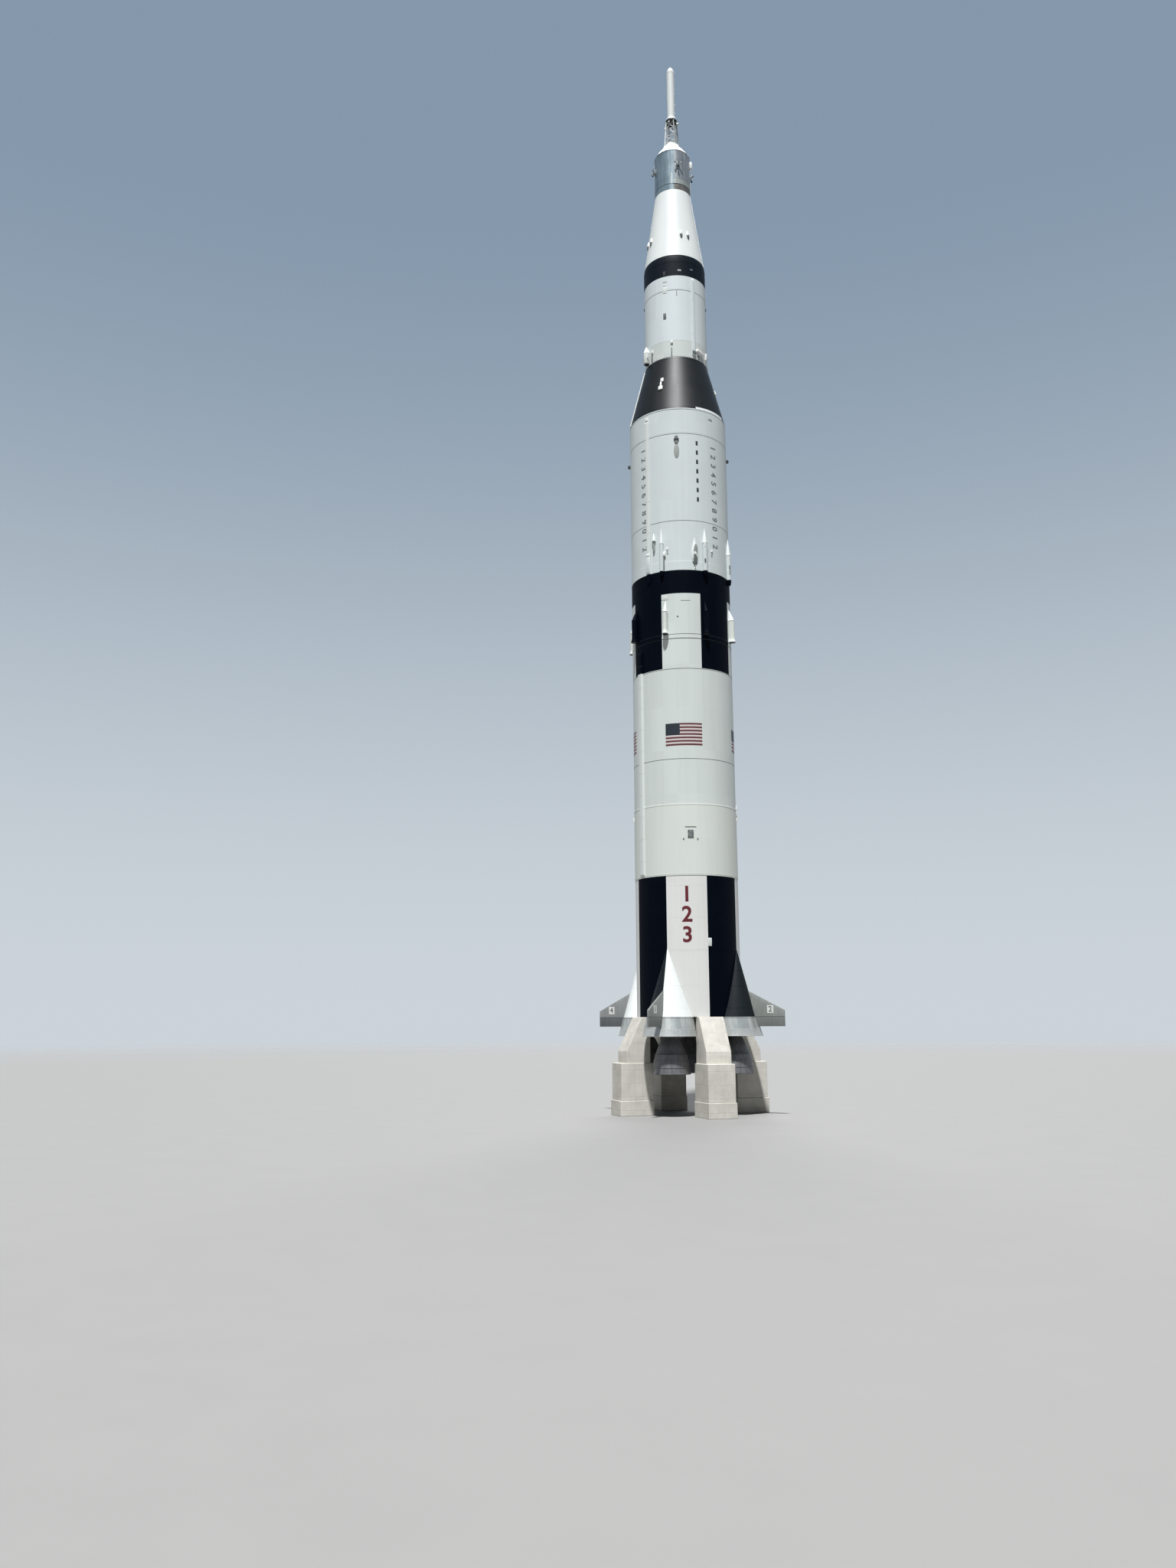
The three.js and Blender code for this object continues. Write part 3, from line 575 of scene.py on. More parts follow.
def shellProfile(row):
    ease = shellEdge["ease"]
    bottom, top = level(row["span"][0]) + shellEdge["gap"], level(row["span"][1])
    radii = row.get("radii", (stageRadius, stageRadius))
    slope = 0 if len(radii) == 3 else (radii[-1] - radii[0]) / (top - bottom)
    points = [(0, bottom), (radii[0] - ease, bottom), (radii[0], bottom + ease)]
    if "foot" in row:
        rim, proud = level(row["foot"]), radii[0] + shellEdge["foot"]
        points[1:] = [(proud - ease, bottom), (proud, bottom + ease), (proud, rim - shellEdge["footSlope"]),
                      (radii[0], rim)]
    for station, kind in row["lines"]:
        z = level(station)
        points += [(radii[0] + slope * (z + rise - bottom) + out, z + rise) for rise, out in lineShapes[kind]]
    if len(radii) == 3:  # straight, then the start of the taper
        points.append((radii[1], level(shellEdge["taper"])))
    return points + [(radii[-1], top - ease), (radii[-1] - ease, top), (0, top)]


def turnedShell(row):
    # the shell's mesh, and for every face its centre and the kind of line that it lies in
    bm = turned(shellProfile(row), shellEdge["steps"])
    kinds = []
    for face in bm.faces:
        centre = face.calc_center_median()
        near = next((kind for station, kind in row["lines"] if abs(centre.z - level(station)) < lineReach["height"]),
                    None)
        offWall = abs(centre.xy.length - wallAt(centre.z)) > lineReach["depth"]
        kinds.append((face, centre, near if offWall else None))
    return bm, kinds


def buildShell(row):
    bm, kinds = turnedShell(row)
    rule = paintRules.get(row["paint"], lambda azimuth, z: row["paint"])
    for face, centre, kind in kinds:
        look = rule(azimuthOf(centre), centre.z)
        if kind == "joint":
            look = "shadePaint" if look in darkLooks else "seamPaint"
        face.material_index = shellLooks.index(look)
    finished(bm, row["node"] + "_shell", shellLooks, row["slot"], [row["node"]])


for row in shells:
    buildShell(row)
print("stage shells:", len(shells))


# Small fittings on the wall, in groups; some rows are dark strips under a fitting or beside a tunnel, painted
# shadow and shade. Each row: azimuth, bottom and top in inches, width and height off the wall in millimetres, paint,
# and where it sits on another fitting, how far off the wall that is.

fittings = {
    "first_stage_fittings": [
        (46.8, 350, 380, 38, 8, "whitePaint"), (109, 842, 862, 34, 13, "fittingPaint"),
        (107, 868, 878, 26, 9, "fittingPaint"), (110, 888, 902, 34, 14, "fittingPaint"),
        (-64, 846, 862, 30, 12, "fittingPaint"),
        *((44.2, 112 + 54 * k, 116 + 54 * k, 7, 1.2, "whitePaint") for k in range(4)),
    ],
    "interstage_fittings": [
        (4, 1692, 1711, 71, 0.8, "seamPaint"), (4, 1692.6, 1710.4, 68, 1.3, "whitePaint"),
        (27.7, 1685, 1688.5, 94, 1.2, "seamPaint"), (18.6, 1621, 1625, 17, 4, "figurePaint"),
    ],
    "second_stage_fittings_and_painted_shadows": [
        # the dark strips at azimuths 3.9, 8.3 and 61.8, under white fittings, are painted shadows of them; the thin
        # line at -18.5 is painted shade on the side of tunnel 2
        (4.6, 1873, 1891, 32, 19, "fittingPaint"), (3.9, 1818, 1873, 14, 11, "crackPaint"),
        (8.3, 1899, 1908, 22, 7, "fittingPaint"), (8.3, 1880, 1896, 14, 3, "seamPaint"),
        (-15.8, 1814, 1887, 48, 21, "coolWhitePaint"), (-15.8, 1885, 1897, 50, 23, "fittingPaint"),
        (50.6, 1909, 1928, 12, 4, "fittingPaint", 34), (50.4, 1846, 1860, 16, 3, "crackPaint", 36),
        (61.8, 1897, 1908, 20, 8, "fittingPaint"), (61.8, 1880, 1897, 14, 4, "seamPaint"),
        (91.3, 1855, 1869, 20, 3, "crackPaint", 36), (-15.5, 2465, 2479, 34, 16, "fittingPaint"),
        (-18.5, 1900, 2462, 7, 1.6, "seamPaint"), (21, 2367, 2379, 30, 8, "crackPaint"),
        (21, 2357, 2368, 50, 10, "shadePaint"), (21, 2344, 2358, 30, 8, "figurePaint"),
        (-65.5, 2336, 2345, 34, 26, "shadePaint"), (110, 2343, 2352, 34, 26, "shadePaint"),
        (64.5, 2462, 2471, 54, 1.6, "seamPaint"),
        *((azimuth, 2341 - 40 * k, 2359 - 40 * k, 23, 1.5, "shadePaint") for azimuth in (45, 225) for k in range(7)),
    ],
    "cone_fittings": [
        (1.3, 2642, 2660, 32, 13, "fittingPaint"), (-0.2, 2621, 2643, 19, 9, "fittingPaint"),
        (0, 2603, 2621, 46, 13, "fittingPaint"), (-58, 2508, 2756, 24, 10, "fittingPaint"),
        (104, 2640, 2657, 36, 14, "fittingPaint"), (200, 2600, 2630, 40, 12, "fittingPaint"),
    ],
    "third_stage_fittings_and_painted_shadows": [
        (4.5, 3107, 3110.5, 44, 1.5, "seamPaint"), (3.6, 3092, 3097, 36, 2, "fittingPaint"),
        (4, 3057, 3086, 44, 2, "skirtPaint"), (26.2, 3041, 3066, 6, 2, "crackPaint"),
        (3.4, 2942, 2965, 31, 7, "crackPaint"), (15.4, 2824, 2836, 27, 11, "fittingPaint"),
        # the dark strips at azimuths 15.1 and -26.6, under the white fittings at 15.4 and -25.5, are painted shadows
        # of them
        (15.1, 2768, 2806, 10, 4, "crackPaint"), (-25.5, 2806, 2820, 26, 10, "fittingPaint"),
        (-26.6, 2769, 2802, 17, 5, "crackPaint"), (57, 2783, 2797, 42, 3, "crackPaint", 14),
        (68.4, 2767, 2784, 18, 6, "crackPaint"), (94, 2790, 2818, 34, 19, "fittingPaint"),
        (-61, 3047, 3057, 18, 7, "shadePaint"), (104.5, 3031, 3041, 18, 7, "shadePaint"),
        (32, 3153, 3161, 38, 2.5, "seamPaint"), (56, 3166, 3172, 34, 2, "figurePaint"),
        (3.4, 3138, 3158, 22, 3, "shadePaint"), (184, 2900, 2930, 40, 9, "seamPaint"),
    ],
}


def buildFittings(name, rows):
    looks = sorted({row[5] for row in rows})
    parts = []
    for azimuth, low, high, width, proud, look, *lift in rows:
        raised = lift[0] / 1000 if lift else 0
        bm = loaf(width / 1000, level(high) - level(low), proud / 1000)
        cut(bm, (0, 0, 0), (1, 0, 0))
        middle = (level(low) + level(high)) / 2
        parts.append((laid(bm, azimuth, middle, lambda z: wallAt(z) + raised), looks.index(look)))
    finished(gathered(parts), name, looks, "white_paint")


# grey oval below the dark fitting at azimuth 21: painted shadow of that fitting
shadowOval = {"azimuth": 21, "station": 2314, "half": (0.026, 0.078),
             "profile": [(0, -0.003), (1, -0.003), (1, 0.003), (0.9, 0.0045), (0, 0.0045)]}


def buildOvalPlate():
    wide, tall = shadowOval["half"]
    bm = moved(turned(shadowOval["profile"], 40), rotation(90, "X"), Matrix.Diagonal((wide, 1, tall, 1)))
    laid(bm, shadowOval["azimuth"], level(shadowOval["station"]), wallAt)
    finished(painted(bm, 0), "painted_shadow_oval", ["seamPaint"], "white_paint")


housing = {"azimuth": 71.5, "station": 2799, "size": (0.105, 0.034, 0.022), "tilt": 14}


def buildHousing():
    # slanted housing beside the third stage's tunnel
    bm = sliced(moved(loaf(*housing["size"]), rotation(housing["tilt"], "Y")))
    laid(bm, housing["azimuth"], level(housing["station"]), wallAt)
    finished(painted(bm, 0), "slanted_housing", ["fittingPaint"], "white_paint")


for name, rows in fittings.items():
    buildFittings(name, rows)
buildOvalPlate()
buildHousing()
print("fittings:", sum(len(rows) for rows in fittings.values()))


# Section between the tanks: a slightly wider shell with the doorway cut in it, and the louvred door on its hinges

intertank = {
    "span": (612, 885), "radii": (tankRadius, tankRadius), "lines": [(618, "rib"), (881, "lip")],
    "rail": {"size": (0.108, 0.005, 0.0045), "edge": 0.0008, "root": 0.001, "above": 0.033},
    "steps": {"azimuths": (20.4, 35.7), "station": 751, "size": (0.015, 0.008, 0.0065), "out": 0.003},
}
door = {
    "azimuth": 28.3, "span": (751, 783), "width": 0.053, "clearance": 0.0008, "recess": 0.017,
    "leaf": {"thick": 0.004, "radius": 0.505, "edge": 0.0006},
    "slats": {"count": 7, "size": (0.040, 0.0014, 0.0052), "edge": 0.0005, "tilt": -16, "radius": 0.5071,
              "first": -0.028, "pitch": 0.0086},
    "handle": {"size": (0.003, 0.003, 0.014), "at": (0.0225, -0.5085, 0.005), "edge": 0.0008},
    "strap": {"size": (0.011, 0.0017, 0.0066), "at": (-0.022, -0.50785, 0.00355), "edge": 0.0003},
}
hinge = {"across": -0.0275, "out": -0.5085, "radius": 0.0016, "half": 0.007, "gap": 0.00015, "levels": (-0.026, 0.026)}
doorMiddle = (level(door["span"][0]) + level(door["span"][1])) / 2
doorHeight = level(door["span"][1]) - level(door["span"][0])
doorTurn = rotation(door["azimuth"])


def nearDoor(face, half, tall):
    centre = face.calc_center_median()
    return centre.y < -0.4 and abs(centre.x) < half and abs(centre.z - doorMiddle) < tall


def buildIntertank():
    bm, kinds = turnedShell(intertank)
    for face, centre, kind in kinds:
        # the lip at the top takes a lighter paint than the wall: painted highlight along the top edge
        face.material_index = 1 if kind == "lip" else 0
    half = door["width"] / 2 + door["clearance"]
    tall = doorHeight / 2 + door["clearance"]
    moved(bm, doorTurn.inverted())
    for at, towards in (((-half, 0, 0), (1, 0, 0)), ((half, 0, 0), (1, 0, 0)),
                        ((0, 0, doorMiddle - tall), (0, 0, 1)), ((0, 0, doorMiddle + tall), (0, 0, 1))):
        near = [f for f in bm.faces if nearDoor(f, 0.08, 10)]
        near += list({e for f in near for e in f.edges} | {v for f in near for v in f.verts})
        cut(bm, at, towards, near, 1e-7)
    inside = [f for f in bm.faces if nearDoor(f, half, tall)]
    made = bmesh.ops.extrude_face_region(bm, geom=inside)["geom"]
    for item in made:
        if isinstance(item, bmesh.types.BMVert):
            item.co.y = -tankRadius + door["recess"]
        elif isinstance(item, bmesh.types.BMFace):
            item.material_index = 2
    bmesh.ops.delete(bm, geom=inside, context="FACES")
    moved(bm, doorTurn)
    finished(bm, "intertank_shell", ["warmWhitePaint", "skirtPaint", "shadePaint"], "white_paint", ["intertank"])


def hingeKnuckle(middle, side):
    low, high = sorted((middle + side * hinge["gap"], middle + side * hinge["half"]))
    profile = [(0, low), (hinge["radius"], low), (hinge["radius"], high), (0, high)]
    return moved(turned(profile, 20, (hinge["across"], hinge["out"])), doorTurn)


def buildDoorSurround():
    rail, steps = intertank["rail"], intertank["steps"]
    strip = sliced(block(rail["size"], (0, -rail["size"][1] / 2 + rail["root"], 0), rail["edge"]))
    parts = [(laid(strip, door["azimuth"], doorMiddle + doorHeight / 2 + rail["above"], wallAt), 0)]
    for azimuth in steps["azimuths"]:
        step = block(steps["size"], (0, -steps["out"], 0), 0.001)
        parts.append((laid(step, azimuth, level(steps["station"]), wallAt), 0))
    parts += [(hingeKnuckle(doorMiddle + rise, -1), 1) for rise in hinge["levels"]]
    finished(gathered(parts), "door_surround", ["seamPaint", "darkMetal"], "white_paint")


def doorBlock(row, rise=0.0):
    across, out, up = row["at"]
    return block(row["size"], (across, out, doorMiddle + rise + up), row["edge"])


def buildDoor():
    leaf, slats = door["leaf"], door["slats"]
    parts = [(block((door["width"], leaf["thick"], doorHeight), (0, -leaf["radius"], doorMiddle), leaf["edge"]), 0,
              [doorTurn])]
    for i in range(slats["count"]):
        slat = moved(block(slats["size"], (0, 0, 0), slats["edge"]), rotation(slats["tilt"], "X"),
                     shift(0, -slats["radius"], doorMiddle + slats["first"] + i * slats["pitch"]))
        parts.append((slat, 0, [doorTurn]))
    parts.append((doorBlock(door["handle"]), 1, [doorTurn]))
    for rise in hinge["levels"]:
        parts.append((hingeKnuckle(doorMiddle + rise, 1), 1))
        parts.append((doorBlock(door["strap"], rise), 1, [doorTurn]))
    finished(gathered(parts), "access_door_leaf", ["doorPaint", "darkMetal"], "door_paint", ["access_door"],
             body="access_door")


buildIntertank()
buildDoorSurround()
buildDoor()
print("intertank and door")


# Legs: concrete struts on pedestals and plinths, with a chart of their faces for the board marks

legs = {
    "azimuths": (45, 135, 225, 315), "chamfer": 0.004, "strutWidth": 0.248, "boardShift": 0.0182,
    # radius, station, and how far the corner is let down, into the pedestal or clear of the body
    "strut": [(0.450, -73, 0.01), (0.688, -73, 0.01), (0.688, -31, 0), (0.536, 93, seat), (0.450, 93, seat)],
    # inner and outer radius, stations and width
    "pedestal": (0.430, 0.746, -207, -73, 0.268), "plinth": (0.424, 0.758, -262, -207, 0.280),
}


def buildLeg(number, azimuth):
    strut = plate([(radius, level(station) - drop) for radius, station, drop in legs["strut"]], legs["strutWidth"])
    moved(strut, shift(0, legs["strutWidth"] / 2, 0), rotation(-90))
    parts = [(bevelled(strut, list(strut.edges), legs["chamfer"], 1), 0)]
    for inner, outer, low, high, width in (legs["pedestal"], legs["plinth"]):
        z0, z1 = level(low), level(high)
        at = (0, -(inner + outer) / 2, (z0 + z1) / 2)
        parts.append((block((width, outer - inner, z1 - z0), at, legs["chamfer"], 1), 0))
    whole = gathered(parts)
    chart = whole.loops.layers.uv.new("faces")
    for face in whole.faces:
        along = face.normal.cross(Vector((1, 0, 0)))
        for loop in face.loops:
            co = loop.vert.co
            if along.length > 0.5:
                up = co.dot(along.normalized()) * (1 if along.z > 0 else -1)
                loop[chart].uv = (co.x + legs["boardShift"], up + 3)
            else:
                loop[chart].uv = (co.y + 5, co.z + 3)
    moved(whole, rotation(azimuth))
    finished(whole, f"leg_{number}_concrete", ["concrete"], "concrete", [f"leg_{number}"], sharp=20)


for i, azimuth in enumerate(legs["azimuths"]):
    buildLeg(i + 1, azimuth)
print("legs")


# Engines: bells with stiffening bands, and above them a plain chamber with pipes down its side

engine = {  # profiles are (radius, rise above the bell's mouth)
    "spots": [(0, 0), (0, -0.455), (0.455, 0), (0, 0.455), (-0.455, 0)], "mouth": -112, "top": 93, "wall": 0.009,
    "outer": [(0.180, 0), (0.1745, 0.045), (0.169, 0.09), (0.159, 0.135), (0.147, 0.18), (0.129, 0.2275),
              (0.109, 0.275), (0.085, 0.3175), (0.060, 0.36)],
    "inside": {"rows": 7, "closed": 0.275}, "bands": (0.004, 0.06, 0.118, 0.172),
    "bandShape": [(0, 0), (0.0035, 0.001), (0.003, 0.006), (-0.001, 0.007)],
    "chamber": [(0.060, 0.36), (0.062, 0.372), (0.060, 0.384), (0.0635, 0.392), (0.090, 0.410), (0.0925, 0.416),
                (0.0925, 0.43), (0.088, 0.432)],
    "head": [(0.088, -0.02), (0.092, -0.018), (0.092, 0)],  # from the top down
    "pipes": {"size": (0.0028, 0.003, 0.05), "count": 36, "radius": 0.0905, "rise": 0.4575},
}


def bellRadius(rise):
    for (r0, z0), (r1, z1) in zip(engine["outer"], engine["outer"][1:]):
        if z0 <= rise < z1:
            return r0 + (r1 - r0) * (rise - z0) / (z1 - z0)
    return 0


def buildEngine(number, x, y):
    mouth, top = level(engine["mouth"]), level(engine["top"]) - seat
    inside, pipes = engine["inside"], engine["pipes"]
    outer = []
    for (r0, z0), (r1, z1) in zip(engine["outer"], engine["outer"][1:]):
        outer.append((r0, mouth + z0))
        for band in engine["bands"]:
            if z0 <= band < z1:
                outer += [(bellRadius(band) + out, mouth + band + rise) for out, rise in engine["bandShape"]]
    outer += [(radius, mouth + rise) for radius, rise in engine["chamber"]]
    outer += [(radius, top + rise) for radius, rise in engine["head"]]
    inner = [(radius - engine["wall"], mouth + z) for radius, z in engine["outer"][:inside["rows"]]]

    def look(centre):
        reach, rise = (centre.xy - Vector((x, y))).length, centre.z - mouth
        return 1 if rise < inside["closed"] + 0.001 and reach < bellRadius(rise) - 0.004 else 0

    bell = turned([(0, mouth + inside["closed"]), *reversed(inner), *outer, (0, top)], 96, (x, y))
    pipe = block(pipes["size"], (0, 0, 0), 0.0005, 1)
    places = [shift(x, y, 0) @ onWall(360 / pipes["count"] * k, pipes["radius"], mouth + pipes["rise"])
              for k in range(pipes["count"])]
    finished(gathered([(bell, look), (pipe, 2, places)]), f"engine_{number}_bell",
             ["bellMetal", "bellInside", "pipeMetal"], "nozzle_metal", [f"engine_{number}"])


for i, (x, y) in enumerate(engine["spots"]):
    buildEngine(i + 1, x, y)
print("engines")


# Engine fairings: half cones with panel joints and tabbed flanges, painted to each side of the ridge

fairing = {
    "centre": 0.455, "radius": 0.222, "foot": 93, "top": 345, "ends": (93.2, 336, 341), "steps": 96,
    "lines": (124, 205, 262), "lineDepth": 0.0003, "lineHalf": 0.0014,
    "lineRises": ((-0.7, 0), (-0.5, 1), (0.5, 1), (0.7, 0)),  # inches from the line, and share of its depth
    "tab": (0.006, 0.0013, 0.014), "tabs": 12, "tabSpan": (103, 338), "flange": 0.5045, "tabTurn": 0.45,
}


def fairingRing(station, margin=0.0):
    rise = (station - fairing["foot"]) / (fairing["top"] - fairing["foot"])
    radius = fairing["radius"] * (1 - rise) + margin
    return fairing["centre"] + (stageRadius - fairing["centre"]) * rise, radius, radius, level(station)


def buildFairing(number, azimuth):
    foot, *ends = fairing["ends"]
    rings = [fairingRing(foot)]
    for line in fairing["lines"]:
        rings += [fairingRing(line + rise, -fairing["lineDepth"] * share) for rise, share in fairing["lineRises"]]
    rings += [fairingRing(station) for station in ends]

    def look(centre):
        black = sectorPaint(azimuthOf(centre), centre.z) == "blackPaint"
        lined = any(abs(centre.z - level(line)) < fairing["lineHalf"] for line in fairing["lines"])
        return black + 2 * lined

    parts = [(moved(lofted(rings, fairing["steps"]), rotation(azimuth)), look)]
    flange, (low, high) = fairing["flange"], fairing["tabSpan"]
    for side in (-1, 1):
        for k in range(fairing["tabs"]):
            centre, radius, _, z = fairingRing(low + (high - low) * k / fairing["tabs"])
            reach = (centre ** 2 + flange ** 2 - radius ** 2) / (2 * centre * flange)
            spread = degrees(atan2((1 - min(reach, 1) ** 2) ** 0.5, reach))
            turn = azimuth + side * (spread + fairing["tabTurn"])
            tab = moved(block(fairing["tab"], (0, 0, 0), 0.0004, 1), onWall(turn, stageRadius + 0.0005, z))
            parts.append((tab, 1 if sectorPaint(turn % 360, z) == "blackPaint" else 2))
    # the black half takes a black lighter than the wall's: painted sheen on the tilted cone, while the joints keep the
    # wall's paints
    looks = ["brightPaint", "fairingBlackAndSheen", "whitePaint", "blackPaint"]
    finished(gathered(parts), f"engine_fairing_{number}_cone", looks, "white_paint", [f"engine_fairing_{number}"],
             sharp=24)


for i in range(4):
    buildFairing(i + 1, i * 90)
print("fairings")


# Flared skirts: thin sheets round each outer engine, lapped every few degrees, with a rolled hem

skirt = {
    "span": (23, 93), "sweep": 96, "sheets": 16, "ribbon": 0.40, "centre": 0.455, "shift": 0.019, "flare": 0.034,
    "lap": {"width": 0.003, "thick": 0.0012, "radius": 0.2330, "inset": 1, "short": 0.016},
    "profile": [  # radius, the level it is taken from, and the rise above that
        (0.256, "low", 0), (0.2585, "low", 0.002), (0.2585, "low", 0.007), (0.2552, "low", 0.009),
        (0.2438, "seam", -0.002), (0.2436, "seam", 0), (0.2420, "seam", 0.001), (0.2238, "high", -0.012),
        (0.2255, "high", -0.010), (0.2255, "high", -0.001), (0.222, "high", 0), (0.214, "high", 0),
        (0.248, "low", 0), (0.256, "low", 0)],
}


def buildSkirt(number, azimuth):
    sweep, count, lap = skirt["sweep"], skirt["sheets"], skirt["lap"]
    low, high = level(skirt["span"][0]), level(skirt["span"][1]) - seat
    seam = low + (high - low) * skirt["ribbon"]
    levels = {"low": low, "seam": seam, "high": high}
    profile = [(radius, levels[start] + rise) for radius, start, rise in skirt["profile"]]
    bm = turned(profile, 100, sweep=2 * sweep, start=-sweep)
    bmesh.ops.holes_fill(bm, edges=[e for e in bm.edges if e.is_boundary], sides=0)
    sheetLooks = [chance.choice((0, 0, 1)) for _ in range(count)]

    def look(centre):
        turn = (azimuthOf(centre) + 180) % 360 - 180
        sheet = int((turn + sweep) / (2 * sweep) * count)
        return sheetLooks[min(sheet, count - 1)] if centre.z > seam else 0

    parts = [(bm, look)]
    lean = degrees(atan2(skirt["flare"], high - low))
    for k in range(count + 1):
        turn = -sweep + lap["inset"] + (2 * sweep - 2 * lap["inset"]) * k / count
        strip = block((lap["width"], lap["thick"], high - seam - lap["short"]), (0, 0, 0), 0.0003, 1)
        parts.append((moved(strip, onWall(turn, lap["radius"], (seam + high) / 2, lean)), k % 2))
    whole = gathered(parts)
    for v in whole.verts:  # the bottom circle's centre is further out than the top's
        v.co.y -= skirt["centre"] + skirt["shift"] * (high - v.co.z) / (high - low)
    moved(whole, rotation(azimuth))
    finished(whole, f"fairing_skirt_{number}_sheets", ["skirtSheet", "skirtSheetDull"], "bare_aluminium",
             [f"fairing_skirt_{number}"], sharp=28)


for i in range(4):
    buildSkirt(i + 1, i * 90)
print("skirts")


# Fins: thin wedges of panels with a foot band and a numbered white patch

fin = {
    "outline": [(0.560, 58), (0.962, 58), (0.962, 117), (0.600, 190.6), (0.560, 190.6)],
    "root": 0.560, "span": 0.402, "shoulder": 117, "slope": 73.6,  # inches from the shoulder to the top
    "rootHalf": 0.020, "tipHalf": 0.009, "topHalf": 0.003, "bandTop": 94, "bandSeam": 1.2, "edge": 0.0022,
    "levels": (117, 140, 165), "panels": (0.65, 0.74, 0.83),
    "patch": {"radius": 0.826, "station": 120, "size": (0.060, 0.003, 0.072)},
    "digit": {"size": 0.074, "weight": 0.0016, "depth": 0.0012},
}


def finHalf(radius, station):
    spanwise = fin["rootHalf"] + (fin["tipHalf"] - fin["rootHalf"]) * (radius - fin["root"]) / fin["span"]
    rise = max(0.0, (station - fin["shoulder"]) / fin["slope"])
    return spanwise * (1 - rise) + fin["topHalf"] * rise


def buildFin(number, azimuth):
    seam, patch, digit = fin["bandTop"] - fin["bandSeam"], fin["patch"], fin["digit"]
    bm = moved(plate(levelled(fin["outline"]), 2.0), shift(0, 1.0, 0))
    for station in (fin["bandTop"], seam, *fin["levels"]):
        cut(bm, (0, 0, level(station)), (0, 0, 1))
    for radius in fin["panels"]:
        cut(bm, (radius, 0, 0), (1, 0, 0))
    for v in bm.verts:  # a plate one metre to each side is drawn in to the wedge's thickness
        v.co.y *= finHalf(v.co.x, v.co.z / inch + ground)
    bevelled(bm, [e for e in bm.edges if not e.is_boundary and e.calc_face_angle(0) > radians(60)], fin["edge"])

    def look(centre):
        return 0 if centre.z > level(fin["bandTop"]) else 2 if centre.z > level(seam) else 1

    parts = [(bm, look)]
    half = finHalf(patch["radius"], patch["station"])
    for side in (-1, 1):
        place = shift(patch["radius"], side * half, level(patch["station"])) @ rotation(180 if side > 0 else 0)
        place = place @ Matrix.Rotation(-side * atan2(fin["rootHalf"] - fin["tipHalf"], fin["span"]), 4, "Z")
        parts.append((block(patch["size"], (0, 0, 0), 0.0004, 1), 3, [place]))
        parts.append((figures(str(number), digit["size"], digit["weight"], digit["depth"]), 4,
                      [place @ shift(0, -digit["depth"], 0)]))
    whole = moved(gathered(parts), rotation(azimuth - 90))
    # the fin at azimuth 270 takes bluer copies of the fin metals, with a much darker foot band: painted shade on that
    # fin
    skins = ["finSheetShadeCopy", "finFootShadeCopy"] if azimuth == 270 else ["finSheet", "finFoot"]
    finished(whole, f"fin_{number}_skin", [*skins, "darkMetal", "plainWhitePaint", "figurePaint"], "fin_metal",
             [f"fin_{number}"])


for i in range(4):
    buildFin(i + 1, i * 90)
print("fins")


# Cable tunnels: rounded strips with thin joints, sloped at both ends, black where the wall behind them is

tunnels = [  # a strip is black between its two black stations
    # tunnels 1 and 2 take a paint a little lighter than the wall: painted highlight on the strips
    {"node": "tunnel_1_1", "azimuth": -32.3, "wall": stageRadius, "span": (612, 1508), "width": 0.066,
     "height": 0.019, "joint": 0.2, "paint": "skirtPaint", "black": (1415, 1600)},
    {"node": "tunnel_1_2", "azimuth": 147.7, "wall": stageRadius, "span": (612, 1508), "width": 0.066,
     "height": 0.019, "joint": 0.2, "paint": "skirtPaint", "black": (1415, 1600)},
    {"node": "tunnel_2", "azimuth": -15.5, "wall": stageRadius, "span": (1764, 2470), "width": 0.046,
     "height": 0.015, "joint": 0.3, "paint": "skirtPaint", "black": (1700, 1812)},
    {"node": "tunnel_3", "azimuth": 57, "wall": upperRadius, "span": (2775, 3133), "width": 0.040,
     "height": 0.014, "joint": 0.4, "paint": "highWhitePaint", "black": (0, 0)},
]
tunnelForm = {"root": 0.012, "round": 0.007, "slope": 0.034, "end": 0.05, "jointHeight": 0.0026, "jointOut": 0.0005}


def tunnelStrip(row, height, z, extra):
    depth = row["height"] + tunnelForm["root"] + extra
    strip = block((row["width"] + 2 * extra, depth, height), (0, tunnelForm["root"] - depth / 2, z))
    outer = [e for e in strip.edges if all(v.co.y < 0 for v in e.verts)
             and abs(e.verts[0].co.z - e.verts[1].co.z) > 0.9 * height]
    return bevelled(strip, outer, tunnelForm["round"], 4)


def buildTunnel(row):
    z0, z1 = level(row["span"][0]), level(row["span"][1])
    low, high = level(row["black"][0]), level(row["black"][1])
    strip = tunnelStrip(row, z1 - z0, (z0 + z1) / 2, 0)
    for v in strip.verts:
        if v.co.y < 0.001:
            slope = tunnelForm["slope"] if v.co.z < (z0 + z1) / 2 else -tunnelForm["slope"]
            v.co.z += slope * min(1.0, -v.co.y / row["height"])
    for z in (low, high):
        cut(strip, (0, 0, z), (0, 0, 1))  # no effect where the strip doesn't reach
    count = int((z1 - z0 - 2 * tunnelForm["end"]) / row["joint"])
    spacing = (z1 - z0 - 2 * tunnelForm["end"]) / count
    places = [shift(0, 0, z0 + tunnelForm["end"] + spacing * (k + 0.5)) for k in range(count)]
    ring = tunnelStrip(row, tunnelForm["jointHeight"], 0, tunnelForm["jointOut"])
    whole = gathered([(strip, 0), (ring, 1, places)])
    for face in whole.faces:
        if low < face.calc_center_median().z < high:
            face.material_index += 2
    moved(whole, onWall(row["azimuth"], row["wall"], 0))
    finished(whole, row["node"] + "_strip", [row["paint"], "whitePaint", "blackPaint", "shadePaint"], "white_paint",
             [row["node"]], sharp=24)


for row in tunnels:
    buildTunnel(row)
print("tunnels")


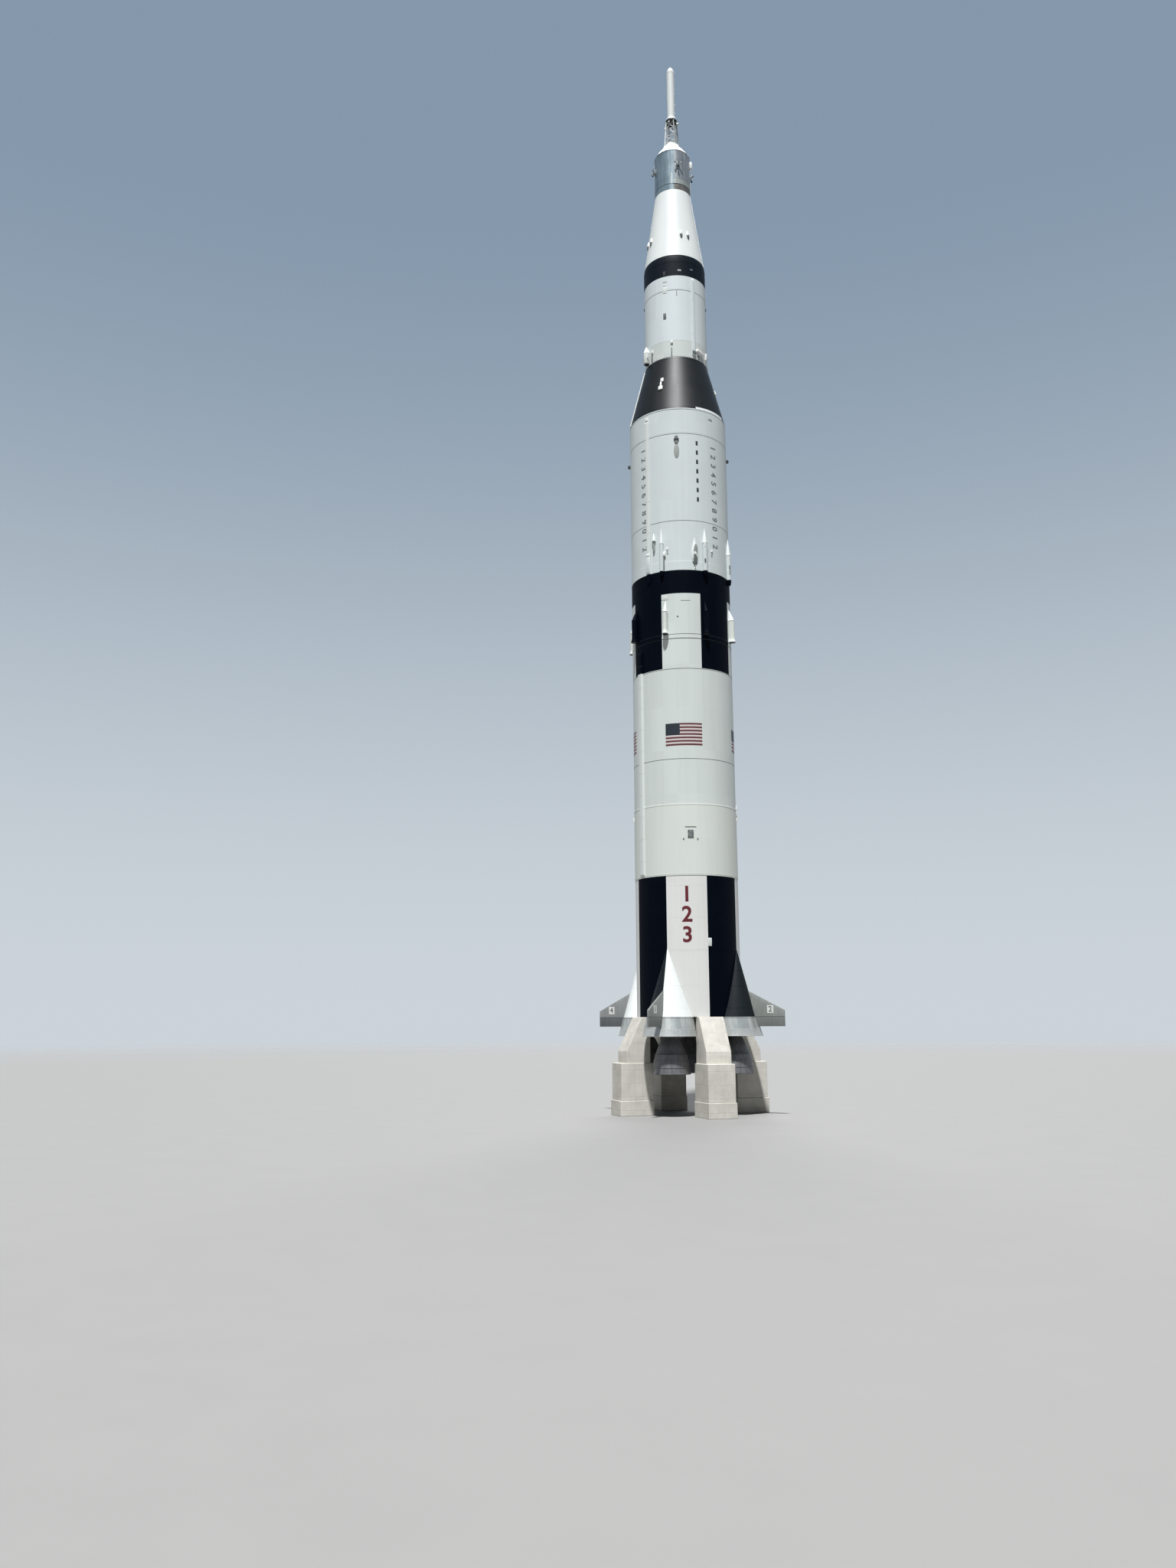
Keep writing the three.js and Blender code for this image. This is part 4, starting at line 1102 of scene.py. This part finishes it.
# Motor fairings round the interstage: an oval barrel on a flared foot, its nose leaning in to the wall

ullage = {
    "azimuths": (5, 50, 95, 140, 185, 230, 275, 320), "open": 1551.6, "band": (1562, 1642),
    "rings": [(0.528, 0.029, 0.041, 1551.4), (0.528, 0.030, 0.042, 1552.2), (0.528, 0.030, 0.042, 1554.2),
              (0.528, 0.0275, 0.038, 1558), (0.528, 0.0248, 0.0335, 1566), (0.528, 0.024, 0.032, 1573),
              (0.528, 0.024, 0.032, 1640), (0.528, 0.0255, 0.0335, 1640.6), (0.528, 0.0255, 0.0335, 1642.4),
              (0.527, 0.0238, 0.0318, 1643), (0.519, 0.0160, 0.0222, 1660), (0.510, 0.0078, 0.0112, 1676),
              (0.504, 0.0020, 0.003, 1687)],
}


def ullageLook(white):
    low, high = ullage["band"]

    def look(centre):
        if centre.z < level(ullage["open"]):
            return 2
        return (3 if level(low) <= centre.z <= level(high) else 0) if white else 1

    return look


def buildUllageFairings():
    parts = []
    for azimuth in ullage["azimuths"]:
        bm = lofted([(centre, half, reach, level(station)) for centre, half, reach, station in ullage["rings"]], 28)
        parts.append((moved(bm, rotation(azimuth)), ullageLook(azimuth % 90 < 45)))
    finished(gathered(parts), "motor_fairings", ["brightPaint", "blackPaint", "darkMetal", "warmWhitePaint"],
             "white_paint")


buildUllageFairings()


# Feed-line fairings at the foot of the second stage, black below the paint line, and a narrow one beside them

feeds = [
    {"node": "feed_fairing_1", "azimuth": 1.5, "radius": 0.021, "tip": 1992, "shoulder": 1927},
    {"node": "feed_fairing_2", "azimuth": 51.5, "radius": 0.026, "tip": 1991, "shoulder": 1928},
    *({"node": f"feed_fairing_{3 + k}", "azimuth": azimuth, "radius": 0.026, "tip": 1987, "shoulder": 1917}
      for k, azimuth in enumerate((95, 172, 244))),
]
vent = {"azimuth": -8, "centre": -stageRadius - 0.008, "dark": 1942,
        "profile": [(0, 1899), (0.009, 1899), (0.011, 1902), (0.0115, 1941), (0.0205, 1943), (0.0205, 1946),
                    (0.001, 1977.5), (0, 1978)]}


def buildFeed(row):
    radius, shoulder, tip = row["radius"], row["shoulder"], row["tip"]
    ring = radius + 0.0015
    profile = [(0, 1791), (radius * 0.72, 1791), (radius * 0.8, 1792), (radius, 1805), (radius, 1811.8),
               (radius, shoulder - 2), (ring, shoulder - 1.5), (ring, shoulder + 0.5), (radius * 0.98, shoulder + 1),
               (radius * 0.04, tip - 1.2), (0, tip)]
    bm = turned(levelled(profile), 36, (0, -stageRadius - radius * 0.45))
    painted(bm, lambda centre: 2 if centre.z < level(1811) else 1 if centre.z < level(shoulder - 2) else 0)
    looks = ["brightPaint", "coolWhitePaint", "blackPaint"]
    finished(moved(bm, rotation(row["azimuth"])), row["node"] + "_cone", looks, "bright_white_paint", [row["node"]])


# the narrow body below the head is grey: painted shade under the cone's head
def buildVent():
    bm = painted(turned(levelled(vent["profile"]), 28, (0, vent["centre"])), below(vent["dark"], 1, 0))
    finished(moved(bm, rotation(vent["azimuth"])), "vent_cone", ["brightPaint", "seamPaint"], "bright_white_paint")


for row in feeds:
    buildFeed(row)
buildVent()

scoop = {
    "azimuth": 39.6, "half": 0.038, "reach": 0.024, "root": 0.006, "dark": {"top": 1868, "half": 0.019},
    "rings": [(1824, 0.10, 0.10), (1832, 0.38, 0.40), (1846, 0.78, 0.70), (1859, 0.94, 0.86), (1876, 1.0, 1.0),
              (1890, 0.94, 0.98), (1904, 0.78, 0.84), (1922, 0.48, 0.54), (1938, 0.20, 0.26), (1947, 0.04, 0.08)],
    "mouth": {"at": (0.004, -0.0242, 1893), "size": (0.027 * 0.75, 0.6, 0.060), "tilt": 8,
              "profile": [(0, -0.002), (0.92, -0.002), (1.0, 0), (0.92, 0.002), (0, 0.002)]},
    "bead": [(0, -0.004), (0.005, -0.003), (0.006, 0), (0.005, 0.003), (0, 0.004)],
    "beads": [(0.012, -0.026, 1869), (0, -0.016, 1829)],
}


def buildScoop():
    root, dark, mouth = scoop["root"], scoop["dark"], scoop["mouth"]
    rings = [(-root, scoop["half"] * width, scoop["reach"] * reach + root, level(station))
             for station, width, reach in scoop["rings"]]

    # the lower middle of the scoop is dark: painted shade under its bulge; the grey mouth is painted shade inside the
    # opening
    def look(centre):
        return 2 if centre.z < level(dark["top"]) and abs(centre.x) < dark["half"] else 0

    across, out, station = mouth["at"]
    opening = moved(turned(mouth["profile"], 32), rotation(90, "X"), Matrix.Diagonal((*mouth["size"], 1)),
                    rotation(mouth["tilt"], "X"), shift(across, out, level(station)))
    beads = [shift(across, out, level(station)) for across, out, station in scoop["beads"]]
    whole = gathered([(lofted(rings, 40), look), (opening, 1), (turned(scoop["bead"], 16), 3, beads)])
    moved(whole, onWall(scoop["azimuth"], stageRadius, 0))
    finished(whole, "drain_scoop_shell", ["brightPaint", "seamPaint", "crackPaint", "fittingPaint"],
             "bright_white_paint", ["drain_scoop"], sharp=40)


buildScoop()
print("fairings of the second stage")


# Control pods of the third stage

pods = {
    "azimuths": (-39.5, 140.5), "centre": 0.352, "dark": 2769,
    "profile": [(0, 2767.2), (0.022, 2767.2), (0.030, 2770), (0.034, 2774), (0.034, 2817), (0.0352, 2817.6),
                (0.0352, 2819.4), (0.034, 2820), (0.0185, 2838.6), (0.0008, 2851.6), (0, 2852)],
    "nozzle": {"station": 2790, "across": 0.028, "out": 0.006, "tilt": 70,
               "profile": [(0, 0), (0.004, 0), (0.0068, 0.014), (0.006, 0.014), (0.0036, 0.002), (0, 0.002)]},
}


def buildPod(number, azimuth):
    nozzle = pods["nozzle"]
    parts = [(turned(levelled(pods["profile"]), 36, (0, -pods["centre"])), below(pods["dark"], 1, 0))]
    for side in (-1, 1):
        place = shift(side * nozzle["across"], -pods["centre"] - nozzle["out"], level(nozzle["station"]))
        parts.append((moved(turned(nozzle["profile"], 20), rotation(side * nozzle["tilt"], "Y"), place), 2))
    finished(moved(gathered(parts), rotation(azimuth)), f"control_pod_{number}_shell",
             ["brightPaint", "darkMetal", "seamPaint"], "white_paint", [f"control_pod_{number}"])


for i, azimuth in enumerate(pods["azimuths"]):
    buildPod(i + 1, azimuth)


# Adapter blisters: white half capsules over dark ones, which are painted shade under the caps. Their profiles are
# shares of the radius, and heights.

blisters = {
    "azimuths": (39, 55, 129, 145, 219, 235, 309, 325), "station": 3338, "radius": 0.0145, "out": 0.003,
    "cap": [(0, 0), (1.12, 0), (1.12, 0.003), (1, 0.004), (1, 0.026), (0.7, 0.046), (0.3, 0.060), (0, 0.066)],
    "mouth": [(0, -0.040), (0.5, -0.037), (0.8, -0.026), (0.92, -0.012), (0.92, 0), (0, 0)],
}


def buildBlisters():
    lean = degrees(atan2(ringRadius - moduleRadius, level(3579) - level(3231)))
    z = level(blisters["station"])
    places = [onWall(azimuth, wallAt(z) + blisters["out"], z, lean) for azimuth in blisters["azimuths"]]
    cap, mouth = (turned([(blisters["radius"] * share, rise) for share, rise in blisters[form]], 28)
                  for form in ("cap", "mouth"))
    finished(gathered([(cap, 0, places), (mouth, 1, places)]), "adapter_blisters", ["fittingPaint", "doorPaint"],
             "bright_white_paint")


buildBlisters()


# Service module: a silver drum in sheets, with bands, plain radiators, a fairing for its pipes and four thruster quads

module = {
    "span": (3579, 3771), "radii": (moduleRadius, moduleRadius), "quads": (40, 130, 220, 310),
    "lines": [(3606, "crack"), (3631, "lap"), (3678, "lap"), (3726, "lap"), (3768, "rib")],
    "radiators": {"azimuths": (27, 207), "sweep": 95, "stepTop": 3606, "bandTop": 3638},
    "slats": {"span": (3640, 3764), "size": (0.0026, 0.0014), "edge": 0.0004, "radius": 0.1958,
              "turns": [27 + 11.2 * k for k in range(6) if k != 4]},
    # pale strips at 20.5 degrees and every quarter turn from it: painted highlight of the sun on the drum
    "strips": {"span": (3606, 3658), "size": (0.011, 0.003), "edge": 0.001, "radius": 0.1960,
               "turns": (20.5, 110.5, 200.5, 290.5)},
    "pipes": {"azimuth": 105, "centre": 0.208,
              "profile": [(0, 3716), (0.011, 3716), (0.0155, 3718.4), (0.0175, 3721.6), (0.0175, 3744),
                          (0.0125, 3751), (0.0055, 3754.2), (0, 3755)]},
}
moduleLooks = ["moduleSheetSkyTint", "radiatorSheet", "bandSheet", "stepSheet", "darkMetal", "brightPaint"]
quad = {
    "station": 3700, "panel": (0.052, 0.005, 0.066), "panelRadius": 0.1965, "pitch": 0.01,
    "housing": (0.028, 0.020, 0.036), "housingOut": 0.012,
    "bell": [(0, 0.000), (0.0034, 0.000), (0.0038, 0.006), (0.0072, 0.018), (0.0090, 0.034), (0.0082, 0.034),
             (0.0062, 0.018), (0, 0.006)],
    "aim": (0.026, -0.018, 0.036), "root": (0.013, -0.0165, 0.014),
}


def modulePaint(azimuth, z):
    panels = module["radiators"]
    if (azimuth - panels["azimuths"][0]) % 180 >= panels["sweep"]:
        return "moduleSheetSkyTint"
    if z < level(panels["stepTop"]):
        return "stepSheet"
    return "bandSheet" if z < level(panels["bandTop"]) else "radiatorSheet"


def moduleStrips(row, look, turns):
    low, high = level(row["span"][0]), level(row["span"][1])
    strip = block((*row["size"], high - low), (0, 0, 0), row["edge"], 1)
    return strip, moduleLooks.index(look), [onWall(turn, row["radius"], (high + low) / 2) for turn in turns]


def buildModule():
    bm, kinds = turnedShell(module)
    for face, centre, kind in kinds:
        look = modulePaint(azimuthOf(centre), centre.z)
        face.material_index = moduleLooks.index("darkMetal" if kind == "crack" and look != "moduleSheetSkyTint" else look)
    pipes = module["pipes"]
    cover = turned(levelled(pipes["profile"]), 28, (0, -pipes["centre"]))
    slatTurns = [base + turn for base in module["radiators"]["azimuths"] for turn in module["slats"]["turns"]]
    parts = [(bm, None), moduleStrips(module["slats"], "radiatorSheet", slatTurns),
             moduleStrips(module["strips"], "brightPaint", module["strips"]["turns"]),
             (cover, moduleLooks.index("brightPaint"), [rotation(pipes["azimuth"])])]
    finished(gathered(parts), "service_module_drum", moduleLooks, "module_metal", ["service_module"])


def buildQuad(number, azimuth):
    z = level(quad["station"])
    panel = sliced(block(quad["panel"], (0, 0, 0), 0.0012), quad["pitch"])
    laid(panel, 0, z, lambda height: quad["panelRadius"])
    housing = block(quad["housing"], (0, -quad["housingOut"], 0), 0.005, 3)
    parts = [(panel, 0), (housing, 1, [onWall(0, moduleRadius, z)])]
    (aimAcross, aimOut, aimUp), (across, out, up) = quad["aim"], quad["root"]
    for side, rise in ((1, 0), (-1, 0), (0, 1), (0, -1)):
        turn = facing(Vector((side * aimAcross, aimOut, rise * aimUp)).normalized())
        place = shift(side * across, -moduleRadius + out, z + rise * up) @ turn
        # the downward bell is dark metal: painted shadow under the quad
        parts.append((turned(quad["bell"], 24), 3 if rise < 0 else 2, [place]))
    looks = ["radiatorSheet", "radiatorSheet", "skirtSheet", "darkMetal"]
    finished(moved(gathered(parts), rotation(azimuth)), f"thruster_quad_{number}_bells", looks, "module_metal",
             [f"thruster_quad_{number}"])


buildModule()
for i, azimuth in enumerate(module["quads"]):
    buildQuad(i + 1, azimuth)
print("service module")


# Capsule cover, lattice tower and escape motor

cover = {
    "profile": [(0, 3771.2), (0.1925, 3771.2), (0.1954, 3771.8), (0.1948, 3773), (0.1926, 3774), (0.1560, 3795.2),
                (0.1545, 3795.6), (0.1530, 3796.2), (0.1512, 3797.8), (0.0660, 3847.2), (0.0600, 3850.6),
                (0.0530, 3852.6), (0.0510, 3853), (0, 3853)],
    "slope": ((0.1512, 3797.8), (0.066, 3847.2)), "foot": 3771.7, "station": 3818,
    "windows": {"azimuths": (70, 110, 250, 290), "sunk": 0.002, "steps": 28,
                "profile": [(0, 0), (0.0095, 0), (0.0095, 0.003), (0.0075, 0.004), (0, 0.003)]},
    "hatches": {"azimuths": (22, 202), "sunk": 0.001, "steps": 40,
                "profile": [(0, 0), (0.021, 0), (0.021, 0.0012), (0.020, 0.0018), (0, 0.0018)]},
}


def buildCover():
    (lowRadius, low), (highRadius, high) = cover["slope"]
    slope = degrees(atan2(lowRadius - highRadius, level(high) - level(low)))
    z = level(cover["station"])
    radius = lowRadius - (z - level(low)) * tan(radians(slope))
    parts = [(turned(levelled(cover["profile"]), 160), below(cover["foot"], 1, 0))]
    for discs, look in ((cover["windows"], 2), (cover["hatches"], 0)):
        places = [onWall(azimuth, radius - discs["sunk"], z, slope) @ rotation(90, "X")
                  for azimuth in discs["azimuths"]]
        parts.append((turned(discs["profile"], discs["steps"]), look, places))
    finished(gathered(parts), "capsule_cover_cone", ["brightPaint", "darkMetal", "bandPaint"], "bright_white_paint",
             ["capsule_cover"])


tower = {
    "foot": (0.084, 3836), "head": (0.061, 3962), "frames": (3853, 3888, 3922), "legs": (3829, 3961.7),
    "rod": 0.0068, "brace": 0.0036, "bar": 0.0042, "braceGap": 2, "headGap": 3,
    "shoe": [(0, -0.012), (0.0115, -0.012), (0.0115, 0), (0.009, 0.006), (0, 0.006)],
}


def rodBetween(start, end, radius, steps=10):
    length = (end - start).length
    rod = turned([(0, 0), (radius, 0), (radius, length), (0, length)], steps)
    return moved(rod, facing(end - start), shift(*start))


def towerCorner(sign, station):
    (footRadius, footStation), (headRadius, headStation) = tower["foot"], tower["head"]
    share = (station - footStation) / (headStation - footStation)
    half = (footRadius + (headRadius - footRadius) * share) / 2 ** 0.5
    return Vector((sign[0] * half, sign[1] * half, level(station)))


def buildTower():
    signs = [(1, 1), (-1, 1), (-1, -1), (1, -1)]
    low, middle, high = tower["frames"]
    legFoot, legHead = tower["legs"]
    gap, brace = tower["braceGap"], tower["brace"]
    parts = []
    for sign, after in zip(signs, signs[1:] + signs[:1]):
        leg = rodBetween(towerCorner(sign, legFoot), towerCorner(sign, legHead), tower["rod"], 16)
        parts.append((leg, 1 if sign[0] > 0 else 0))  # two legs are greyer
        for station in tower["frames"]:
            parts.append((rodBetween(towerCorner(sign, station), towerCorner(after, station), tower["bar"]), 0))
        peak = (towerCorner(sign, high) + towerCorner(after, high)) / 2
        parts += [(rodBetween(towerCorner(end, middle + gap), peak, brace), 0) for end in (sign, after)]
        for start, end in ((low + gap, middle - gap), (high + gap, tower["head"][1] - tower["headGap"])):
            parts.append((rodBetween(towerCorner(sign, start), towerCorner(after, end), brace), 0))
            parts.append((rodBetween(towerCorner(after, start), towerCorner(sign, end), brace), 0))
        parts.append((turned(tower["shoe"], 20), 0, [shift(*towerCorner(sign, tower["foot"][1]))]))
    finished(gathered(parts), "escape_tower_lattice", ["towerMetal", "seamPaint"], "bare_aluminium", ["escape_tower"])


motor = {
    "profile": [(0, 3966), (0.050, 3966), (0.052, 3962.4), (0.0650, 3962), (0.0680, 3962.6), (0.0680, 3964.2),
                (0.060, 3971.6), (0.0425, 3986.6), (0.0410, 3988.6), (0.0422, 3989), (0.0422, 3991),
                (0.041, 3991.6), (0.041, 4208), (0.0420, 4208.4), (0.0420, 4213.6), (0.041, 4214), (0, 4214)],
    "dark": 3969, "base": 3962, "nozzles": (0, 90, 180, 270), "start": (0.046, 0.008), "exit": (0.088, -0.066),
    "nozzle": [(0, 0), (0.008, 0), (0.0085, 0.016), (0.0105, 0.036), (0.0108, 0.050), (0.0135, 0.066),
               (0.0122, 0.066), (0.0095, 0.050), (0.005, 0.030), (0, 0.028)],
    "skirt": 0.045,  # the nozzle is darker inside of this
    "nose": [(0, 4214.2), (0.0405, 4214.2), (0.041, 4214.6), (0.0398, 4219), (0.0350, 4225.6), (0.0270, 4232),
             (0.0175, 4236.6), (0.0085, 4239.4), (0.0045, 4240.4), (0.0032, 4243), (0.0012, 4246.4), (0, 4247)],
}


def buildMotor():
    bm = turned(levelled(motor["profile"]), 96)
    (startRadius, startRise), (exitRadius, exitRise) = motor["start"], motor["exit"]
    along = Vector((0, startRadius - exitRadius, exitRise - startRise))
    place = shift(0, -startRadius, level(motor["base"]) + startRise) @ facing(along)
    aim = [rotation(azimuth) @ place for azimuth in motor["nozzles"]]
    parts = [(bm, below(motor["dark"], 1, 0)),
             (turned(motor["nozzle"], 28), lambda centre: 2 if centre.z > motor["skirt"] else 3, aim)]
    finished(gathered(parts), "escape_motor_case", ["brightPaint", "shadePaint", "fittingPaint", "doorPaint"],
             "bright_white_paint", ["escape_motor"])


def buildNose():
    bm = painted(turned(levelled(motor["nose"]), 64), 0)
    finished(bm, "motor_nose_cap", ["fittingPaint"], "bare_aluminium", ["motor_nose"])


buildCover()
buildTower()
buildMotor()
buildNose()
print("cover, tower and motor")


# Flags: one in each white quarter, a plain dark canton and plain stripes

flag = {
    "azimuths": (23, 113, 203, 293), "span": (1109, 1196), "width": 41.1, "canton": 16.3, "cantonRow": 6,
    "radius": 0.5032, "stripes": 13, "columns": 28, "thick": 0.0011, "sunk": 0.0004,
}


def buildFlags():
    parts = []
    low, high, count = level(flag["span"][0]), level(flag["span"][1]), flag["stripes"]
    rise = (high - low) / count
    width = radians(flag["width"]) * flag["radius"]
    edge = -width / 2 + radians(flag["canton"]) * flag["radius"]

    def look(centre):
        stripe = int((centre.z + rise * count / 2) / rise)
        return 2 if centre.x < edge and stripe >= flag["cantonRow"] else stripe % 2

    for azimuth in flag["azimuths"]:
        bm = bmesh.new()
        bmesh.ops.create_grid(bm, x_segments=flag["columns"], y_segments=count, size=0.5)
        painted(moved(bm, Matrix.Diagonal((width, rise * count, 1, 1)), rotation(90, "X")), look)
        bmesh.ops.solidify(bm, geom=bm.faces, thickness=-flag["thick"])
        moved(bm, shift(0, flag["sunk"], 0))
        parts.append((laid(bm, azimuth, (low + high) / 2, lambda z: flag["radius"]), None))
    finished(gathered(parts), "flags", ["stripePaint", "paleStripePaint", "cantonPaint"], "white_paint")


buildFlags()


# Plain figures: three large red ones down two white quarters, and columns of small grey ones on the second stage

redFigures = {"azimuths": (22.6, 202.6), "stations": (540, 465, 390), "form": (0.205, 0.0045, 0.0010)}
smallFigures = {"azimuths": (-22.3, 67.4, 157.7, 247.4), "top": 2345, "bottom": 1925, "count": 12,
                "form": (0.094, 0.0024, 0.0008)}
figureRadius = 0.5028


def buildFigures():
    parts = []

    def add(bm, azimuth, station, look):
        parts.append((laid(sliced(bm), azimuth, level(station), lambda z: figureRadius), look))

    for azimuth in redFigures["azimuths"]:
        for text, station in zip("123", redFigures["stations"]):
            add(figures(text, *redFigures["form"]), azimuth, station, 0)
    drop = smallFigures["bottom"] - smallFigures["top"]
    for azimuth in smallFigures["azimuths"]:
        for k in range(smallFigures["count"]):
            station = smallFigures["top"] + drop * (k / (smallFigures["count"] - 1))
            lying = moved(figures(str((k + 1) % 10), *smallFigures["form"]), rotation(90, "Y"))
            add(lying, azimuth, station, 1)
    finished(gathered(parts), "painted_figures", ["redPaint", "figurePaint"], "white_paint")


buildFigures()
print("flags and figures")


# Studio: pale floor that fades into the backdrop, soft key from above the camera, even fill

studio = {
    "floorColour": (0.255, 0.255, 0.25), "floorRadius": 60, "floorFade": (14, 52),
    "lightColour": (0.70, 0.735, 0.78), "lightStrength": 0.17,
    "backdrop": [(0.0, (0.60, 0.655, 0.70)), (0.62, (0.235, 0.315, 0.41))],  # height and colour
    "suns": (("key", 18, 67, 6.1, 3), ("back", 200, 45, 1.3, 25)),  # name, azimuth, height, strength, size
}


def buildFloor():
    bm = bmesh.new()
    bmesh.ops.create_circle(bm, cap_ends=True, radius=studio["floorRadius"], segments=96)
    mesh = bpy.data.meshes.new("studio_floor")
    bm.to_mesh(mesh)
    bm.free()
    floor = bpy.data.objects.new("studio_floor", mesh)
    bpy.context.scene.collection.objects.link(floor)
    pale = Finish("studioFloor", {"Roughness": 0.75, "Specular IOR Level": 0.2})
    pale.feed("Base Color", pale.shade(studio["floorColour"], 0.97 + 0.06 * pale.noise(3, 4)))
    reach = (pale.x * pale.x + pale.y * pale.y) ** 0.5
    clear = pale.node("ShaderNodeBsdfTransparent", {}, {})
    solid = Wire(pale, pale.shader.outputs[0])
    faded = pale.node("ShaderNodeMixShader", {}, {0: pale.step(reach, *studio["floorFade"]), 1: solid, 2: clear})
    pale.join(pale.tree.nodes["Material Output"].inputs["Surface"], faded)
    mesh.materials.append(pale.material)


def buildLights():
    world = bpy.data.worlds.new("studio")
    bpy.context.scene.world = world
    world.use_nodes = True
    sky = Graph(world.node_tree)
    fill = sky.tree.nodes["Background"]
    sky.join(fill.inputs["Color"], studio["lightColour"])
    sky.join(fill.inputs["Strength"], studio["lightStrength"])
    height = sky.node("ShaderNodeSeparateXYZ", {}, {0: sky.node("ShaderNodeTexCoord", {}, {}, "Generated")}, "Z")
    colour = sky.node("ShaderNodeValToRGB", {"stops": studio["backdrop"]}, {0: height})
    colour.socket.node.color_ramp.interpolation = "EASE"
    backdrop = sky.node("ShaderNodeBackground", {}, {"Color": colour})
    seen, glossy = (sky.node("ShaderNodeLightPath", {}, {}, ray) for ray in ("Is Camera Ray", "Is Glossy Ray"))
    both = sky.node("ShaderNodeMixShader", {},
                    {0: seen.maths("MAXIMUM", seen, glossy), 1: Wire(sky, fill.outputs[0]), 2: backdrop})
    sky.join(sky.tree.nodes["World Output"].inputs["Surface"], both)
    for name, azimuth, rise, strength, size in studio["suns"]:
        lamp = bpy.data.lights.new(name, "SUN")
        lamp.energy = strength
        lamp.angle = radians(size)
        holder = bpy.data.objects.new(name, lamp)
        bpy.context.scene.collection.objects.link(holder)
        towards = spot(azimuth, cos(radians(rise)), sin(radians(rise)))
        holder.rotation_euler = towards.to_track_quat("Z", "Y").to_euler()
        holder.location = towards * 20


camera = {"distance": 12.103, "azimuth": 22.5, "height": 0.8625, "lens": 28.15, "sensor": 36, "reach": 300,
          "pitch": 10.972, "yaw": -4.582, "roll": -0.277}


def buildCamera():
    yaw, pitch, roll = (radians(camera[key]) for key in ("yaw", "pitch", "roll"))
    ahead = Vector((sin(yaw) * cos(pitch), cos(yaw) * cos(pitch), sin(pitch)))
    sideways = Vector((cos(yaw), -sin(yaw), 0))
    upright = sideways.cross(ahead)
    right = sideways * cos(roll) + upright * sin(roll)
    top = upright * cos(roll) - sideways * sin(roll)
    turn = Matrix.Rotation(radians(camera["azimuth"]), 3, "Z")
    axes = Matrix((turn @ right, turn @ top, turn @ -ahead)).transposed()
    data = bpy.data.cameras.new("camera")
    data.lens = camera["lens"]
    data.sensor_width = camera["sensor"]
    data.clip_end = camera["reach"]
    view = bpy.data.objects.new("camera", data)
    bpy.context.scene.collection.objects.link(view)
    view.matrix_world = shift(*spot(camera["azimuth"], camera["distance"], camera["height"])) @ axes.to_4x4()
    bpy.context.scene.camera = view


buildFloor()
buildLights()
buildCamera()
bpy.context.scene.view_settings.view_transform = "Standard"
print("studio and camera")
